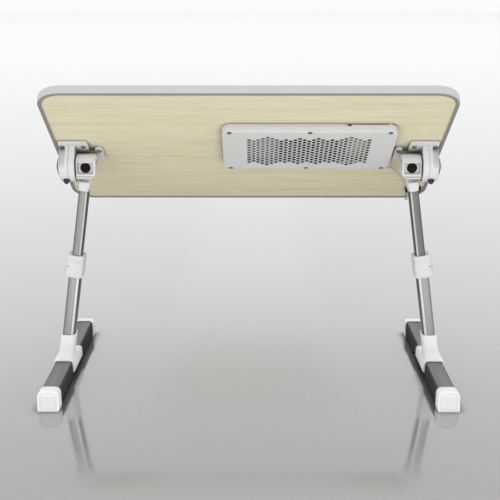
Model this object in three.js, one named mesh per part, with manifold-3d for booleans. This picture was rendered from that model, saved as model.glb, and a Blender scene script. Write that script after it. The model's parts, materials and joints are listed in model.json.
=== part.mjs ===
// Folding laptop cooling table: a tilting top with a built-in fan on two telescopic, fold-away legs.
//
// Millimetres, +Z up. The origin is on the floor at the centre of the four foot caps. The table is drawn
// as it stands in use: legs fully out, top at its steepest, high edge toward -Y.
//
// Frames used below
//   top frame   origin on the tilt axis, y toward the low edge, z out of the working surface
//   knuckle     origin where the tilt axis and the fold axis cross, upright, x outward
//   leg frame   the knuckle frame turned by the splay, -z down the leg
//   foot frame  origin on the floor under the foot bar's middle, x outward
import * as THREE from 'three';
import { mergeGeometries, mergeVertices } from 'three/addons/utils/BufferGeometryUtils.js';
import Module from 'manifold-3d';

const wasm = await Module();
wasm.setup();

// ---------------------------------------------------------------- driving dimensions

const GAP = 0.3; // between pieces that touch
const RUN = 0.4; // between pieces that move on each other
const TILT = 36.7; // degrees, top against the floor
const SPLAY = 8.55; // degrees, each leg against the vertical, seen from the front

const TOP = {
  width: 520,
  depth: 300,
  thickness: 12,
  cornerRadius: 32,
  trimWall: 2,
  trimLip: 3,
  trimLipThickness: 0.8,
  axisDrop: 20.5, // tilt axis below the trim's underside
  axisShift: 3, // tilt axis from mid-depth toward the low edge
};
const VENT = { slots: 7, length: 62, width: 4, pitch: 9 };
const LEDGE = { length: 260, width: 8, height: 12, fromEdge: 16, pegRadius: 2.4, pegDepth: 6, pegSpacing: 200 };

const KNUCKLE = {
  axisHeight: 301, // tilt axis above the floor
  axisY: -23, // tilt axis and leg plane from the foot's middle
  fromMiddle: 217.3, // fold axis from the table's middle
  halfWidth: 13.3,
  front: 15.3,
  back: 11.2,
  topRadius: 17,
  bottom: 16,
  outerWall: 4.5, // outside the neck, level with the fold axis
  cornerRadius: 9,
  hubRadius: 9,
  hubLength: 13,
  windowDepth: 1.5,
  windowWidth: 20,
  windowHeight: 15,
};
const BUTTON = { foldRadius: 6.4, foldThickness: 3.1, foldStemRadius: 2.7, foldStem: 7.5 };
const FOLD_PIN = { radius: 4.5, boreRadius: 3.1, boreDepth: 11.5, seat: 2 };

const BRACKET = {
  width: 21.6, // moulded housing, across the top
  radius: 21, // nose of the housing round the tilt axis
  chamfer: 4,
  plateThickness: 3,
  plateNear: 34.7, // plate edges from the tilt axis
  plateFar: 24,
  plateInner: 3.6, // plate's inner edge past the fold axis
  lugInner: 21.8,
  lugWidth: 10.8,
  lugHalfLength: 17,
  bridgeNear: 4,
  screwX: [30.9, 3, -16.6],
  screwY: [-20.7, -20.7, -9],
  notchRadius: 3.9,
};
const BEZEL = { radius: 12.5, thickness: 2.3, rim: 1.2 };
const TILT_BUTTON = { radius: 4.6, proud: 3.3, length: 12.6 };
const BUMPER = { x: 26, radius: 4.5, tipRadius: 2.2, height: 4.5, plugRadius: 2.8, plugLength: 4 };

const UPPER_TUBE = { width: 12.8, depth: 20, radius: 3.2, wall: 1.2, top: 36, overlap: 45 };
const NECK = { headRadius: 8, headDepth: 14, shoulder: 18.6, bottomWidth: 14, bottomDepth: 21, spigot: 20 };
const COLLAR = {
  width: 24,
  outward: 1.2, // collar's middle from the tube's, away from the table's middle
  depth: 28.6,
  cornerRadius: 3.4,
  top: 123.5,
  height: 31.8,
  lip: 2.2,
  seam: 9.5,
  seamDepth: 0.3,
};
const HEIGHT_BUTTON = { width: 11, height: 15, thickness: 3, proud: 1.8, fromTop: 19.6, pocket: 2.9 };
const LOWER_TUBE = { width: 16, depth: 23.2, radius: 4, wall: 1.3 };

const BAR = { width: 24.2, height: 23.4, floorGap: 2.2, flat: 18.8, shoulder: 7.5, wall: 1.6, length: 297 };
const CAP = {
  width: 28.2,
  height: 27,
  cornerRadius: 7.5,
  depth: 20,
  face: 8.6, // end wall, from the foot of the face to the bar's end
  lean: 5, // how far the face has fallen back where its rounded top edge begins
  topRound: 4,
  panelInset: 3,
  panelDepth: 0.8,
  ribs: 5,
  ribWidth: 2.2,
};
const SADDLE = {
  front: 16,
  back: 48,
  wall: 2.3,
  lipHeight: 10.5,
  backRound: 5,
  bridge: 9, // solid between the bar and the lower tube
  socketTop: 64,
  socketWall: 1.8,
  flareBack: 22,
  flareRise: 7.5, // flare's height above the bar
};

const FAN = {
  size: 80,
  thickness: 8,
  bore: 37.8,
  hub: 14.5,
  blades: 7,
  bladeTip: 36.6,
  motorBase: 1.5,
  struts: 3,
  screwInset: 4.3,
  screwBore: 2.1,
};
const COVER = {
  x: 78.5, // centre of the fan unit in the top frame
  y: -24.4,
  width: 225.5,
  depth: 107,
  cornerRadius: 10,
  wall: 1.6,
  skirt: 8.6,
  bevel: 1.5,
  postRadius: 3.6,
  screwPitch: 103,
  screwRow: 49.5,
};
const TRAY = { width: 165, wall: 2, floor: 1.6, opening: 38 };
const HOLE = { columns: 27, pitch: 6.92, radius: 2.6, sides: 4 };

const SCREW = { headRadius: 3, headHeight: 1.9, shankRadius: 1.4, bite: 7, driveRadius: 1.2, driveDepth: 0.9 };

const LEAD = { radius: 1.5, sides: 6, steps: 40 };
const COIL = { fromSide: 48, fromEdge: 49, radius: 17.2, turnsAcross: 2, turnsHigh: 2 };
const TIE = { width: 5, wall: 1 };
const PLUG = { length: 22, width: 15, height: 8, shellLength: 12, shellWidth: 12, shellHeight: 4.5, shellWall: 0.5 };
const CLIP = { fromSide: 20, fromEdge: 34, width: 22, depth: 14, height: 6, bore: 2.5, boreInward: 7.2, boreDrop: 4 };
const RELIEF = { flangeRadius: 3.8, flange: 1.2, radius: 3, tipRadius: 2, length: 8, neckRadius: 2.1, angle: 40 };

// ---------------------------------------------------------------- values that follow from them

const radians = THREE.MathUtils.degToRad;
const UNDERSIDE = TOP.axisDrop; // trim's underside in the top frame
const BOARD_BOTTOM = UNDERSIDE + TOP.trimLipThickness + GAP;
const BOARD_TOP = UNDERSIDE + TOP.thickness - TOP.trimLipThickness - GAP;
const FIXED_TO = BOARD_BOTTOM - GAP; // where pieces screwed to the underside begin
const TOP_Y = -TOP.axisShift;
const SIDE_EDGE = TOP.width / 2;
const LOW_EDGE = TOP_Y + TOP.depth / 2;
const BRACKET_INNER = KNUCKLE.halfWidth + 0.8;
const BRACKET_OUTER = BRACKET_INNER + BRACKET.width;
const PLATE_BOTTOM = FIXED_TO - BRACKET.plateThickness;
const LOWER_TUBE_TOP = COLLAR.top + COLLAR.lip + GAP;
const BAR_AXIS = BAR.floorGap + BAR.height / 2;
const FOOT_X = KNUCKLE.fromMiddle + (KNUCKLE.axisHeight - BAR_AXIS) * Math.tan(radians(SPLAY));
const SLOT_HALF = NECK.headDepth / 2 + RUN;
const SOCKET_FLOOR = BAR.floorGap + BAR.height + SADDLE.bridge;
const LOWER_TUBE_END = (KNUCKLE.axisHeight - SOCKET_FLOOR) / Math.cos(radians(SPLAY)) - 1;
const FAN_TOP = FIXED_TO - TRAY.floor - GAP;
const FAN_BOTTOM = FAN_TOP - FAN.thickness;
const COVER_INSIDE = FAN_BOTTOM - GAP;
const COVER_FACE = COVER_INSIDE - COVER.wall;
const COVER_RIM = COVER_FACE + COVER.skirt;
const TRAY_RIM = COVER_RIM + GAP;
const TRAY_END = COVER.x - COVER.width / 2 + TRAY.width;

// ---------------------------------------------------------------- materials

const material = (color, roughness, metalness) =>
  new THREE.MeshStandardMaterial({ color, roughness, metalness });
const veneer = material('#e6dfbd', 0.55, 0);
const greyTrim = material('#9fa1a3', 0.45, 0);
const whitePlastic = material('#eeeeec', 0.4, 0);
const greyPlastic = material('#c9cacb', 0.45, 0);
const darkPlastic = material('#3b3c3e', 0.5, 0);
const blackPlastic = material('#101011', 0.45, 0);
const rubber = material('#1b1b1b', 0.85, 0);
const aluminium = material('#aeb0b2', 0.35, 0.9);
const anodised = material('#55575a', 0.4, 0.8);
const steel = material('#8d8f92', 0.3, 1);

// ---------------------------------------------------------------- solids

/** A closed geometry as a manifold solid. */
function solid(geometry) {
  const bare = geometry.index ? geometry.toNonIndexed() : geometry.clone();
  bare.deleteAttribute('normal');
  bare.deleteAttribute('uv');
  const merged = mergeVertices(bare, 1e-4);
  return new wasm.Manifold(
    new wasm.Mesh({
      numProp: 3,
      vertProperties: Float32Array.from(merged.attributes.position.array),
      triVerts: Uint32Array.from(merged.index.array),
    }),
  );
}

/** A manifold solid as a geometry. */
function geometryOf(body) {
  const { vertProperties, triVerts } = body.getMesh();
  const geometry = new THREE.BufferGeometry();
  geometry.setAttribute('position', new THREE.BufferAttribute(Float32Array.from(vertProperties), 3));
  geometry.setIndex(Array.from(triVerts));
  return geometry;
}

/** The first geometry with the others joined on. */
function join(first, ...others) {
  return geometryOf(others.reduce((sum, next) => sum.add(solid(next)), solid(first)));
}

/** The first geometry with the others cut away. */
function cut(first, ...others) {
  return geometryOf(others.reduce((rest, next) => rest.subtract(solid(next)), solid(first)));
}

/** What two geometries have in common. */
function common(first, second) {
  return geometryOf(solid(first).intersect(solid(second)));
}

/** The same geometry seen in a mirror across x = 0. */
function mirrored(geometry) {
  const flipped = geometry.index ? geometry.toNonIndexed() : geometry.clone();
  const position = flipped.attributes.position;
  for (let i = 0; i < position.count; i += 3) {
    const corners = [0, 2, 1].map((k) => new THREE.Vector3().fromBufferAttribute(position, i + k));
    corners.forEach((corner, k) => position.setXYZ(i + k, -corner.x, corner.y, corner.z));
  }
  flipped.deleteAttribute('normal');
  flipped.deleteAttribute('uv');
  return flipped;
}

const TO_X = new THREE.Matrix4().makeBasis(
  new THREE.Vector3(0, 1, 0),
  new THREE.Vector3(0, 0, 1),
  new THREE.Vector3(1, 0, 0),
);

/** A shape pushed along x, y or z from start; it is drawn in (y, z), (x, z) or (x, y). */
function extrude(axis, shape, start, length, curveSegments = 2) {
  const geometry = new THREE.ExtrudeGeometry(shape, { depth: length, bevelEnabled: false, curveSegments });
  if (axis === 'x') return geometry.applyMatrix4(TO_X).translate(start, 0, 0);
  if (axis === 'y') return geometry.rotateX(Math.PI / 2).translate(0, start + length, 0);
  return geometry.translate(0, 0, start);
}

/** A cylinder or cone along x, y or z, from start, centred on the axis through `at`. */
function rod(axis, radius, start, length, at = [0, 0], segments = 16, endRadius = radius) {
  const geometry = new THREE.CylinderGeometry(endRadius, radius, length, segments);
  geometry.rotateY(Math.PI / segments).translate(0, length / 2 + start, 0);
  if (axis === 'x') return geometry.rotateZ(-Math.PI / 2).translate(0, at[0], at[1]);
  if (axis === 'y') return geometry.translate(at[0], 0, at[1]);
  return geometry.rotateX(Math.PI / 2).translate(at[0], at[1], 0);
}

/** A block between two corners. */
function block(low, high) {
  const size = high.map((value, i) => value - low[i]);
  const middle = high.map((value, i) => (value + low[i]) / 2);
  return new THREE.BoxGeometry(...size).translate(...middle);
}

/** A rectangle with round corners, centred on (x, y). */
function roundedRectangle(width, height, radius, x = 0, y = 0) {
  const [left, right, low, high] = [x - width / 2, x + width / 2, y - height / 2, y + height / 2];
  const shape = new THREE.Shape();
  shape.absarc(right - radius, high - radius, radius, 0, Math.PI / 2, false);
  shape.absarc(left + radius, high - radius, radius, Math.PI / 2, Math.PI, false);
  shape.absarc(left + radius, low + radius, radius, Math.PI, 1.5 * Math.PI, false);
  shape.absarc(right - radius, low + radius, radius, 1.5 * Math.PI, 2 * Math.PI, false);
  shape.closePath();
  return shape;
}

/** The corners of a rounded rectangle as one level of a loft. */
function level(width, height, radius, z, x = 0, y = 0, curveSegments = 2) {
  const ring = roundedRectangle(width, height, radius, x, y).getPoints(curveSegments);
  ring.pop();
  return ring.map((point) => new THREE.Vector3(point.x, point.y, z));
}

/** A closed skin through levels that have equally many corners, faced outward whichever way they run. */
function loft(levels) {
  const count = levels[0].length;
  const points = levels.flat();
  const faces = [];
  for (let n = 0; n + 1 < levels.length; n += 1) {
    for (let i = 0; i < count; i += 1) {
      const [a, b] = [n * count + i, n * count + ((i + 1) % count)];
      faces.push([a, b, b + count], [a, b + count, a + count]);
    }
  }
  const last = (levels.length - 1) * count;
  for (let i = 1; i + 1 < count; i += 1) {
    faces.push([0, i + 1, i], [last, last + i, last + i + 1]);
  }
  const volume = faces.reduce((sum, [a, b, c]) => sum + points[a].dot(points[b].clone().cross(points[c])), 0);
  const outward = volume < 0 ? faces.map(([a, b, c]) => [a, c, b]) : faces;
  const geometry = new THREE.BufferGeometry().setFromPoints(points);
  geometry.setIndex(outward.flat());
  return geometry;
}

/** A profile of (radius, height) points turned round z; it starts and ends on the axis. */
function revolve(profile, segments) {
  const points = profile.map(([radius, height]) => new THREE.Vector2(radius, height));
  return new THREE.LatheGeometry(points, segments).rotateX(Math.PI / 2);
}

// ---------------------------------------------------------------- scene graph

const table = new THREE.Group();
const topGroup = new THREE.Group();
topGroup.position.set(0, KNUCKLE.axisY, KNUCKLE.axisHeight);
topGroup.rotation.x = -radians(TILT);
table.add(topGroup);

/** One named piece in a group. */
function piece(group, name, geometry, look) {
  const mesh = new THREE.Mesh(geometry, look);
  mesh.name = name;
  group.add(mesh);
}

// ---------------------------------------------------------------- screws

/** A pan-head screw along z, driven upward, its head's underside at z = 0. */
function screw(grip) {
  const { headRadius, headHeight, shankRadius, bite, driveRadius, driveDepth } = SCREW;
  return revolve(
    [
      [0, driveDepth - headHeight],
      [driveRadius, driveDepth - headHeight],
      [driveRadius, -headHeight],
      [headRadius * 0.8, -headHeight],
      [headRadius, 0],
      [shankRadius, 0],
      [0, grip + bite],
    ],
    6,
  );
}

const pilot = (x, y) => rod('z', SCREW.shankRadius + GAP, BOARD_BOTTOM - 1, SCREW.bite + 1.5, [x, y], 6);

// ---------------------------------------------------------------- the top

const bracketScrewPlaces = BRACKET.screwX.map((x, i) => [x, BRACKET.screwY[i]]);
const coverScrewPlaces = [-1, 0, 1].flatMap((column) =>
  [-1, 1].map((row) => [COVER.x + column * COVER.screwPitch, COVER.y + row * COVER.screwRow]),
);

/** Whether a cover screw passes through the tray. */
function underTray([x]) {
  return x < TRAY_END;
}

/** One slot through the board above the fan, with blunt ends. */
function ventSlot(y) {
  const [end, half, blunt] = [VENT.length / 2, VENT.width / 2, VENT.width / 4];
  const slot = new THREE.Path();
  slot.moveTo(COVER.x - end, y + half - blunt);
  slot.lineTo(COVER.x - end + blunt, y + half);
  slot.lineTo(COVER.x + end - blunt, y + half);
  slot.lineTo(COVER.x + end, y + half - blunt);
  slot.lineTo(COVER.x + end, y - half + blunt);
  slot.lineTo(COVER.x + end - blunt, y - half);
  slot.lineTo(COVER.x - end + blunt, y - half);
  slot.lineTo(COVER.x - end, y - half + blunt);
  slot.closePath();
  return slot;
}

function topPanel() {
  const inset = TOP.trimWall + GAP;
  const outline = roundedRectangle(
    TOP.width - 2 * inset,
    TOP.depth - 2 * inset,
    TOP.cornerRadius - inset,
    0,
    TOP_Y,
  );
  for (let i = 0; i < VENT.slots; i += 1) {
    const y = COVER.y + (i - (VENT.slots - 1) / 2) * VENT.pitch;
    outline.holes.push(ventSlot(y));
  }
  const board = extrude('z', outline, BOARD_BOTTOM, BOARD_TOP - BOARD_BOTTOM, 2);
  const pilots = coverScrewPlaces.map(([x, y]) => pilot(x, y));
  for (const side of [-1, 1]) {
    pilots.push(...bracketScrewPlaces.map(([x, y]) => pilot(side * (KNUCKLE.fromMiddle + x), y)));
    const pegHole = rod(
      'z',
      LEDGE.pegRadius + GAP,
      BOARD_TOP - LEDGE.pegDepth - GAP,
      LEDGE.pegDepth + 2,
      [(side * LEDGE.pegSpacing) / 2, ledgeY()],
      10,
    );
    pilots.push(pegHole);
  }
  return cut(board, ...pilots);
}

/** A C-section band round the board, with a lip over each face. */
function edgeTrim() {
  const ring = (inset, start, height) =>
    extrude(
      'z',
      roundedRectangle(TOP.width - 2 * inset, TOP.depth - 2 * inset, TOP.cornerRadius - inset, 0, TOP_Y),
      start,
      height,
      2,
    );
  const band = ring(0, UNDERSIDE, TOP.thickness);
  const groove = ring(TOP.trimWall, UNDERSIDE + TOP.trimLipThickness, TOP.thickness - 2 * TOP.trimLipThickness);
  const window = ring(TOP.trimWall + TOP.trimLip, UNDERSIDE - 1, TOP.thickness + 2);
  return cut(band, groove, window);
}

function ledgeY() {
  return LOW_EDGE - LEDGE.fromEdge;
}

/** A round-topped bar that keeps a laptop from sliding off the low edge, on two pegs. */
function stopLedge() {
  const { length, width, height, pegRadius, pegDepth, pegSpacing } = LEDGE;
  const foot = BOARD_TOP + GAP;
  const profile = new THREE.Shape();
  profile.moveTo(ledgeY() - width / 2, foot);
  profile.lineTo(ledgeY() + width / 2, foot);
  profile.absarc(ledgeY(), foot + height - width / 2, width / 2, 0, Math.PI, false);
  profile.closePath();
  const bar = extrude('x', profile, -length / 2, length, 3);
  const ends = extrude('z', roundedRectangle(length, width + 2, width / 2, 0, ledgeY()), foot - 1, height + 2, 2);
  const pegs = [-1, 1].map((side) =>
    rod('z', pegRadius, foot - pegDepth, pegDepth + 1, [(side * pegSpacing) / 2, ledgeY()], 10),
  );
  return join(common(bar, ends), ...pegs);
}

// ---------------------------------------------------------------- fan unit

/** Half the height of the perforated field, in hole pitches: two tall crests and two low ones. */
function fieldHalfHeight(fromMiddle) {
  const tall = Math.exp(-(((Math.abs(fromMiddle) - 9) / 1.5) ** 2));
  const low = 0.5 * Math.exp(-(((Math.abs(fromMiddle) - 2) / 0.7) ** 2));
  return 4.6 + tall + low;
}

/** Centres of the staggered perforation. */
function holeCentres() {
  const centres = [];
  const middle = (HOLE.columns - 1) / 2;
  const columnPitch = (HOLE.pitch * Math.sqrt(3)) / 2;
  for (let column = -middle; column <= middle; column += 1) {
    const limit = fieldHalfHeight(column);
    const first = column % 2 === 0 ? 0 : 0.5;
    for (let row = first; row <= limit; row += 1) {
      for (const sign of row === 0 ? [1] : [-1, 1]) {
        centres.push([COVER.x + column * columnPitch, COVER.y + sign * row * HOLE.pitch]);
      }
    }
  }
  return centres;
}

/** The moulded cover: a bevelled tray-like shell with screw posts and a perforated face. */
function fanCover() {
  const { width, depth, cornerRadius, wall, bevel, postRadius, x, y } = COVER;
  const ring = (inset, z) =>
    level(width - 2 * inset, depth - 2 * inset, cornerRadius - inset * 0.8, z, x, y, 2);
  const outside = loft([ring(bevel, COVER_FACE), ring(0, COVER_FACE + bevel), ring(0, COVER_RIM)]);
  const inside = loft([
    ring(wall + bevel * 0.6, COVER_INSIDE),
    ring(wall, COVER_INSIDE + bevel * 0.6),
    ring(wall, COVER_RIM + 1),
  ]);
  const posts = coverScrewPlaces.map((at) => {
    const end = underTray(at) ? COVER_RIM : FIXED_TO;
    return rod('z', postRadius, COVER_INSIDE - 0.5, end - COVER_INSIDE + 0.5, at, 8);
  });
  const bores = coverScrewPlaces.flatMap((at) => [
    rod('z', SCREW.shankRadius + GAP, COVER_FACE, FIXED_TO - COVER_FACE + 1, at, 6),
    rod('z', SCREW.headRadius + GAP, COVER_FACE - 1, SCREW.headHeight + GAP + 1, at, 8),
  ]);
  const holes = holeCentres().map((at) => rod('z', HOLE.radius, COVER_FACE - 1, wall + 2, at, HOLE.sides));
  const [exitX, exitY] = exitDirection();
  const exit = rod('x', RELIEF.neckRadius + GAP, -6, 12, [0, 0], 10)
    .rotateZ(radians(RELIEF.angle))
    .translate(exitX, exitY, leadExitHeight());
  const shell = cut(outside, inside);
  return cut(join(shell, ...posts), ...bores, exit, mergeGeometries(holes));
}

/** The shallow tray between the cover and the board, with a boss at each cover screw that passes it. */
function fanTray() {
  const { width, wall, floor, opening } = TRAY;
  const { depth, cornerRadius, postRadius } = COVER;
  const x = TRAY_END - width / 2;
  const height = FIXED_TO - TRAY_RIM;
  const floorBottom = FIXED_TO - floor;
  const outer = extrude('z', roundedRectangle(width, depth, cornerRadius, x, COVER.y), TRAY_RIM, height, 2);
  const inner = roundedRectangle(width - 2 * wall, depth - 2 * wall, cornerRadius - wall, x, COVER.y);
  const pocket = extrude('z', inner, TRAY_RIM - 1, height + 1 - floor, 2);
  const window = rod('z', opening, floorBottom - 1, floor + 2, [COVER.x, COVER.y], 20);
  const places = coverScrewPlaces.filter(underTray);
  const bosses = places.map((at) => rod('z', postRadius, TRAY_RIM, height, at, 8));
  const bores = places.map((at) => rod('z', SCREW.shankRadius + GAP, TRAY_RIM - 1, height + 2, at, 6));
  return cut(join(cut(outer, pocket, window), ...bosses), ...bores);
}

/** The fan's square frame, with its motor base held by struts on the board side. */
function fanFrame() {
  const { size, thickness, bore, hub, motorBase, struts, screwInset, screwBore } = FAN;
  const square = extrude('z', roundedRectangle(size, size, 4), FAN_BOTTOM, thickness, 1);
  const throat = rod('z', bore, FAN_BOTTOM - 1, thickness + 2, [0, 0], 20);
  const screwAt = size / 2 - screwInset;
  const bores = [-1, 1].flatMap((sx) =>
    [-1, 1].map((sy) => rod('z', screwBore, FAN_BOTTOM - 1, thickness + 2, [sx * screwAt, sy * screwAt], 6)),
  );
  const base = rod('z', hub + 0.5, FAN_TOP - motorBase, motorBase, [0, 0], 14);
  const arms = Array.from({ length: struts }, (_, i) =>
    block([0, -1.5, FAN_TOP - motorBase], [bore + 0.8, 1.5, FAN_TOP]).rotateZ((2 * Math.PI * (i + 0.3)) / struts),
  );
  return join(cut(square, throat, ...bores), base, ...arms).translate(COVER.x, COVER.y, 0);
}

/** The fan's hub with its twisted, swept blades. */
function fanRotor() {
  const low = FAN_BOTTOM + 0.9;
  const high = FAN_TOP - FAN.motorBase - RUN;
  const hub = revolve([[0, low], [FAN.hub - 1.5, low], [FAN.hub, low + 1.5], [FAN.hub, high], [0, high]], 14);
  const blades = Array.from({ length: FAN.blades }, (_, i) =>
    fanBlade(low + 0.4, high - 0.4).rotateZ((2 * Math.PI * i) / FAN.blades),
  );
  return join(hub, ...blades).translate(COVER.x, COVER.y, 0);
}

/** One blade: a thin section carried outward along the radius while it flattens and sweeps. */
function fanBlade(low, high) {
  const stations = [
    { radius: FAN.hub - 1.5, pitch: 38, sweep: 0 },
    { radius: (FAN.hub + FAN.bladeTip) / 2, pitch: 30, sweep: 3 },
    { radius: FAN.bladeTip, pitch: 24, sweep: 8 },
  ];
  const middle = (low + high) / 2;
  const halfSkin = 0.6;
  return loft(
    stations.map(({ radius, pitch, sweep }) => {
      const run = new THREE.Vector2(Math.cos(radians(pitch)), Math.sin(radians(pitch)));
      const half = ((high - low) / 2 - halfSkin * run.x) / run.y;
      const corner = (along, across) => {
        const y = sweep + run.x * along * half - run.y * across * halfSkin;
        const z = middle + run.y * along * half + run.x * across * halfSkin;
        return new THREE.Vector3(Math.sqrt(Math.max(radius * radius - y * y, 1)), y, z);
      };
      return [corner(-1, -1), corner(1, -1), corner(1, 1), corner(-1, 1)];
    }),
  );
}

// ---------------------------------------------------------------- USB lead

function leadExitHeight() {
  return COVER_FACE + COVER.skirt / 2;
}

/** Where the lead's centre line crosses the cover's rounded corner. */
function exitDirection() {
  const centreX = COVER.x + COVER.width / 2 - COVER.cornerRadius;
  const centreY = COVER.y + COVER.depth / 2 - COVER.cornerRadius;
  const angle = radians(RELIEF.angle);
  return [centreX + COVER.cornerRadius * Math.cos(angle), centreY + COVER.cornerRadius * Math.sin(angle)];
}

/** The tapered strain relief, with a neck through the cover's wall. */
function strainRelief() {
  const { flangeRadius, flange, radius, tipRadius, length, neckRadius, angle } = RELIEF;
  const [x, y] = exitDirection();
  return revolve(
    [
      [0, -COVER.wall - 1.5],
      [neckRadius, -COVER.wall - 1.5],
      [neckRadius, 0.9],
      [flangeRadius, 0.9],
      [flangeRadius, 0.9 + flange],
      [radius, 0.9 + flange],
      [tipRadius, length],
      [0, length],
    ],
    8,
  )
    .rotateY(Math.PI / 2)
    .rotateZ(radians(angle))
    .translate(x, y, leadExitHeight());
}

/** A point along the lead where it leaves the strain relief. */
function leadStart() {
  const [x, y] = exitDirection();
  const reach = RELIEF.length + 2 * GAP;
  return [x + reach * Math.cos(radians(RELIEF.angle)), y + reach * Math.sin(radians(RELIEF.angle)), leadExitHeight()];
}

const [startX, startY, startZ] = leadStart();
const clipBore = [SIDE_EDGE - CLIP.fromSide - CLIP.boreInward, FIXED_TO - CLIP.boreDrop];

// Steps from the strain relief, then distances from the top's right side and from its low edge.
const leadFromRelief = [
  [0, 0, 0],
  [5.7, 5.4, -1],
  [13.3, 16.2, -1.7],
  [19.3, 27.3, -1.6],
  [24.7, 40, -0.9],
  [30.1, 55.8, 0.7],
];
const leadFromEdges = [
  [30.1, 49.5, 16],
  [28.1, 40.5, 17],
  [CLIP.fromSide + CLIP.boreInward, CLIP.fromEdge, clipBore[1]],
  [26.4, 27.5, 17.6],
  [25.7, 20, 18],
  [24.9, 11, 18.6],
  [24.4, 2, 18.7],
  [24.2, -3.4, 20.4],
  [24, -6.4, 23.5],
  [24, -7.2, 27.2],
  [24, -5.6, 30.9],
  [24.2, -2.2, 33.4],
  [24.5, 2.5, 34.3],
  [25.1, 11, 34],
  [26, 21, 33.3],
  [26.8, 30.5, 33.2],
  [27.6, 40.7, 33.2],
];
const coilAt = [SIDE_EDGE - COIL.fromSide, LOW_EDGE - COIL.fromEdge];

// The lead's run under the top, over the low edge and along the working surface, in the top frame.
const leadRoute = [
  ...leadFromRelief.map(([dx, dy, dz]) => [startX + dx, startY + dy, startZ + dz]),
  ...leadFromEdges.map(([fromSide, fromEdge, z]) => [SIDE_EDGE - fromSide, LOW_EDGE - fromEdge, z]),
];

// From the coil's top layer to the plug, as steps from the coil's middle.
const leadTail = [
  [-11.6, -18.8, 36.2],
  [-14.4, -18.8, 36.2],
  [-17.2, -18.8, 36],
  [-20, -18.8, 35.8],
  [-22.6, -18.8, 35.8],
].map(([dx, dy, z]) => [coilAt[0] + dx, coilAt[1] + dy, z]);

/** A plain round cord along a route. */
function cord(route, steps) {
  const path = new THREE.CatmullRomCurve3(route.map((point) => new THREE.Vector3(...point)), false, 'centripetal');
  const section = new THREE.Shape();
  for (let i = 0; i < LEAD.sides; i += 1) {
    const turn = (2 * Math.PI * i) / LEAD.sides;
    const corner = [LEAD.radius * Math.cos(turn), LEAD.radius * Math.sin(turn)];
    if (i === 0) section.moveTo(...corner);
    else section.lineTo(...corner);
  }
  section.closePath();
  return new THREE.ExtrudeGeometry(section, { steps, extrudePath: path, bevelEnabled: false });
}

/** The outer shape of the lead's stored turns. */
function coilRing() {
  const half = COIL.turnsAcross * LEAD.radius + 0.1;
  const height = 2 * COIL.turnsHigh * LEAD.radius + 0.2;
  const [inner, outer] = [COIL.radius - half, COIL.radius + half];
  const low = BOARD_TOP + GAP;
  const profile = [[inner, low], [outer, low], [outer, low + height], [inner, low + height], [inner, low]];
  return revolve(profile, 24).translate(...coilAt, 0);
}

/** A flat band closed round one side of the coil. */
function leadTie() {
  const half = COIL.turnsAcross * LEAD.radius + 0.1 + GAP;
  const low = BOARD_TOP + GAP;
  const height = 2 * COIL.turnsHigh * LEAD.radius + 0.2 + 2 * GAP;
  const strap = new THREE.Shape();
  const y = coilAt[1] + COIL.radius;
  strap.moveTo(y - half - GAP - TIE.wall, low);
  strap.lineTo(y - half - GAP, low);
  strap.lineTo(y - half - GAP, low + height);
  strap.lineTo(y + half, low + height);
  strap.lineTo(y + half, low);
  strap.lineTo(y + half + TIE.wall, low);
  strap.lineTo(y + half + TIE.wall, low + height + TIE.wall);
  strap.lineTo(y - half - GAP - TIE.wall, low + height + TIE.wall);
  strap.closePath();
  return extrude('x', strap, coilAt[0] - TIE.width / 2, TIE.width);
}

const plugRear = leadTail.at(-1);

/** The plug's overmoulded grip, tapered toward the lead. */
function plugBody() {
  const { length, width, height } = PLUG;
  const low = BOARD_TOP + GAP;
  const back = plugRear[0] - GAP;
  const at = (w, h, along) => level(w, h, Math.min(w, h) * 0.3, along, 0, height / 2);
  const grip = loft([at(5, 5, 0), at(width * 0.7, height * 0.8, 3), at(width, height, 7), at(width, height, length)]);
  return grip.rotateX(Math.PI / 2).rotateZ(-Math.PI / 2).translate(back, plugRear[1], low);
}

/** The plug's metal shell, open at the front. */
function plugShell() {
  const { length, height, shellLength, shellWidth, shellHeight, shellWall } = PLUG;
  const low = BOARD_TOP + GAP + (height - shellHeight) / 2;
  const end = plugRear[0] - GAP - length - GAP;
  const y = plugRear[1];
  const tongueTop = low + shellHeight - shellWall - 1.6;
  const shell = block([end - shellLength, y - shellWidth / 2, low], [end, y + shellWidth / 2, low + shellHeight]);
  const inside = block(
    [end - shellLength - 1, y - shellWidth / 2 + shellWall, low + shellWall],
    [end - 1.5, y + shellWidth / 2 - shellWall, tongueTop],
  );
  return cut(shell, inside);
}

/** A small saddle clip that holds the lead near the low edge. */
function leadClip() {
  const { fromSide, fromEdge, width, depth, height, bore } = CLIP;
  const [x, y] = [SIDE_EDGE - fromSide, LOW_EDGE - fromEdge];
  const ring = (inset, z) => level(width - 2 * inset, depth - 2 * inset, 3, z, x, y);
  const body = loft([ring(1.6, FIXED_TO - height), ring(0, FIXED_TO - height + 1.8), ring(0, FIXED_TO)]);
  return cut(body, rod('y', bore, y - depth, 2 * depth, clipBore, 10));
}

// ---------------------------------------------------------------- hinge bracket

/** The U-shaped outline of the housing, open toward the board, as one level of a loft across it. */
function housingOutline(radius, x) {
  const points = [new THREE.Vector3(x, radius, PLATE_BOTTOM + 1), new THREE.Vector3(x, -radius, PLATE_BOTTOM + 1)];
  const steps = 12;
  for (let i = 0; i <= steps; i += 1) {
    const angle = Math.PI + (Math.PI * i) / steps;
    points.push(new THREE.Vector3(x, radius * Math.cos(angle), radius * Math.sin(angle)));
  }
  return points.reverse();
}

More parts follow.
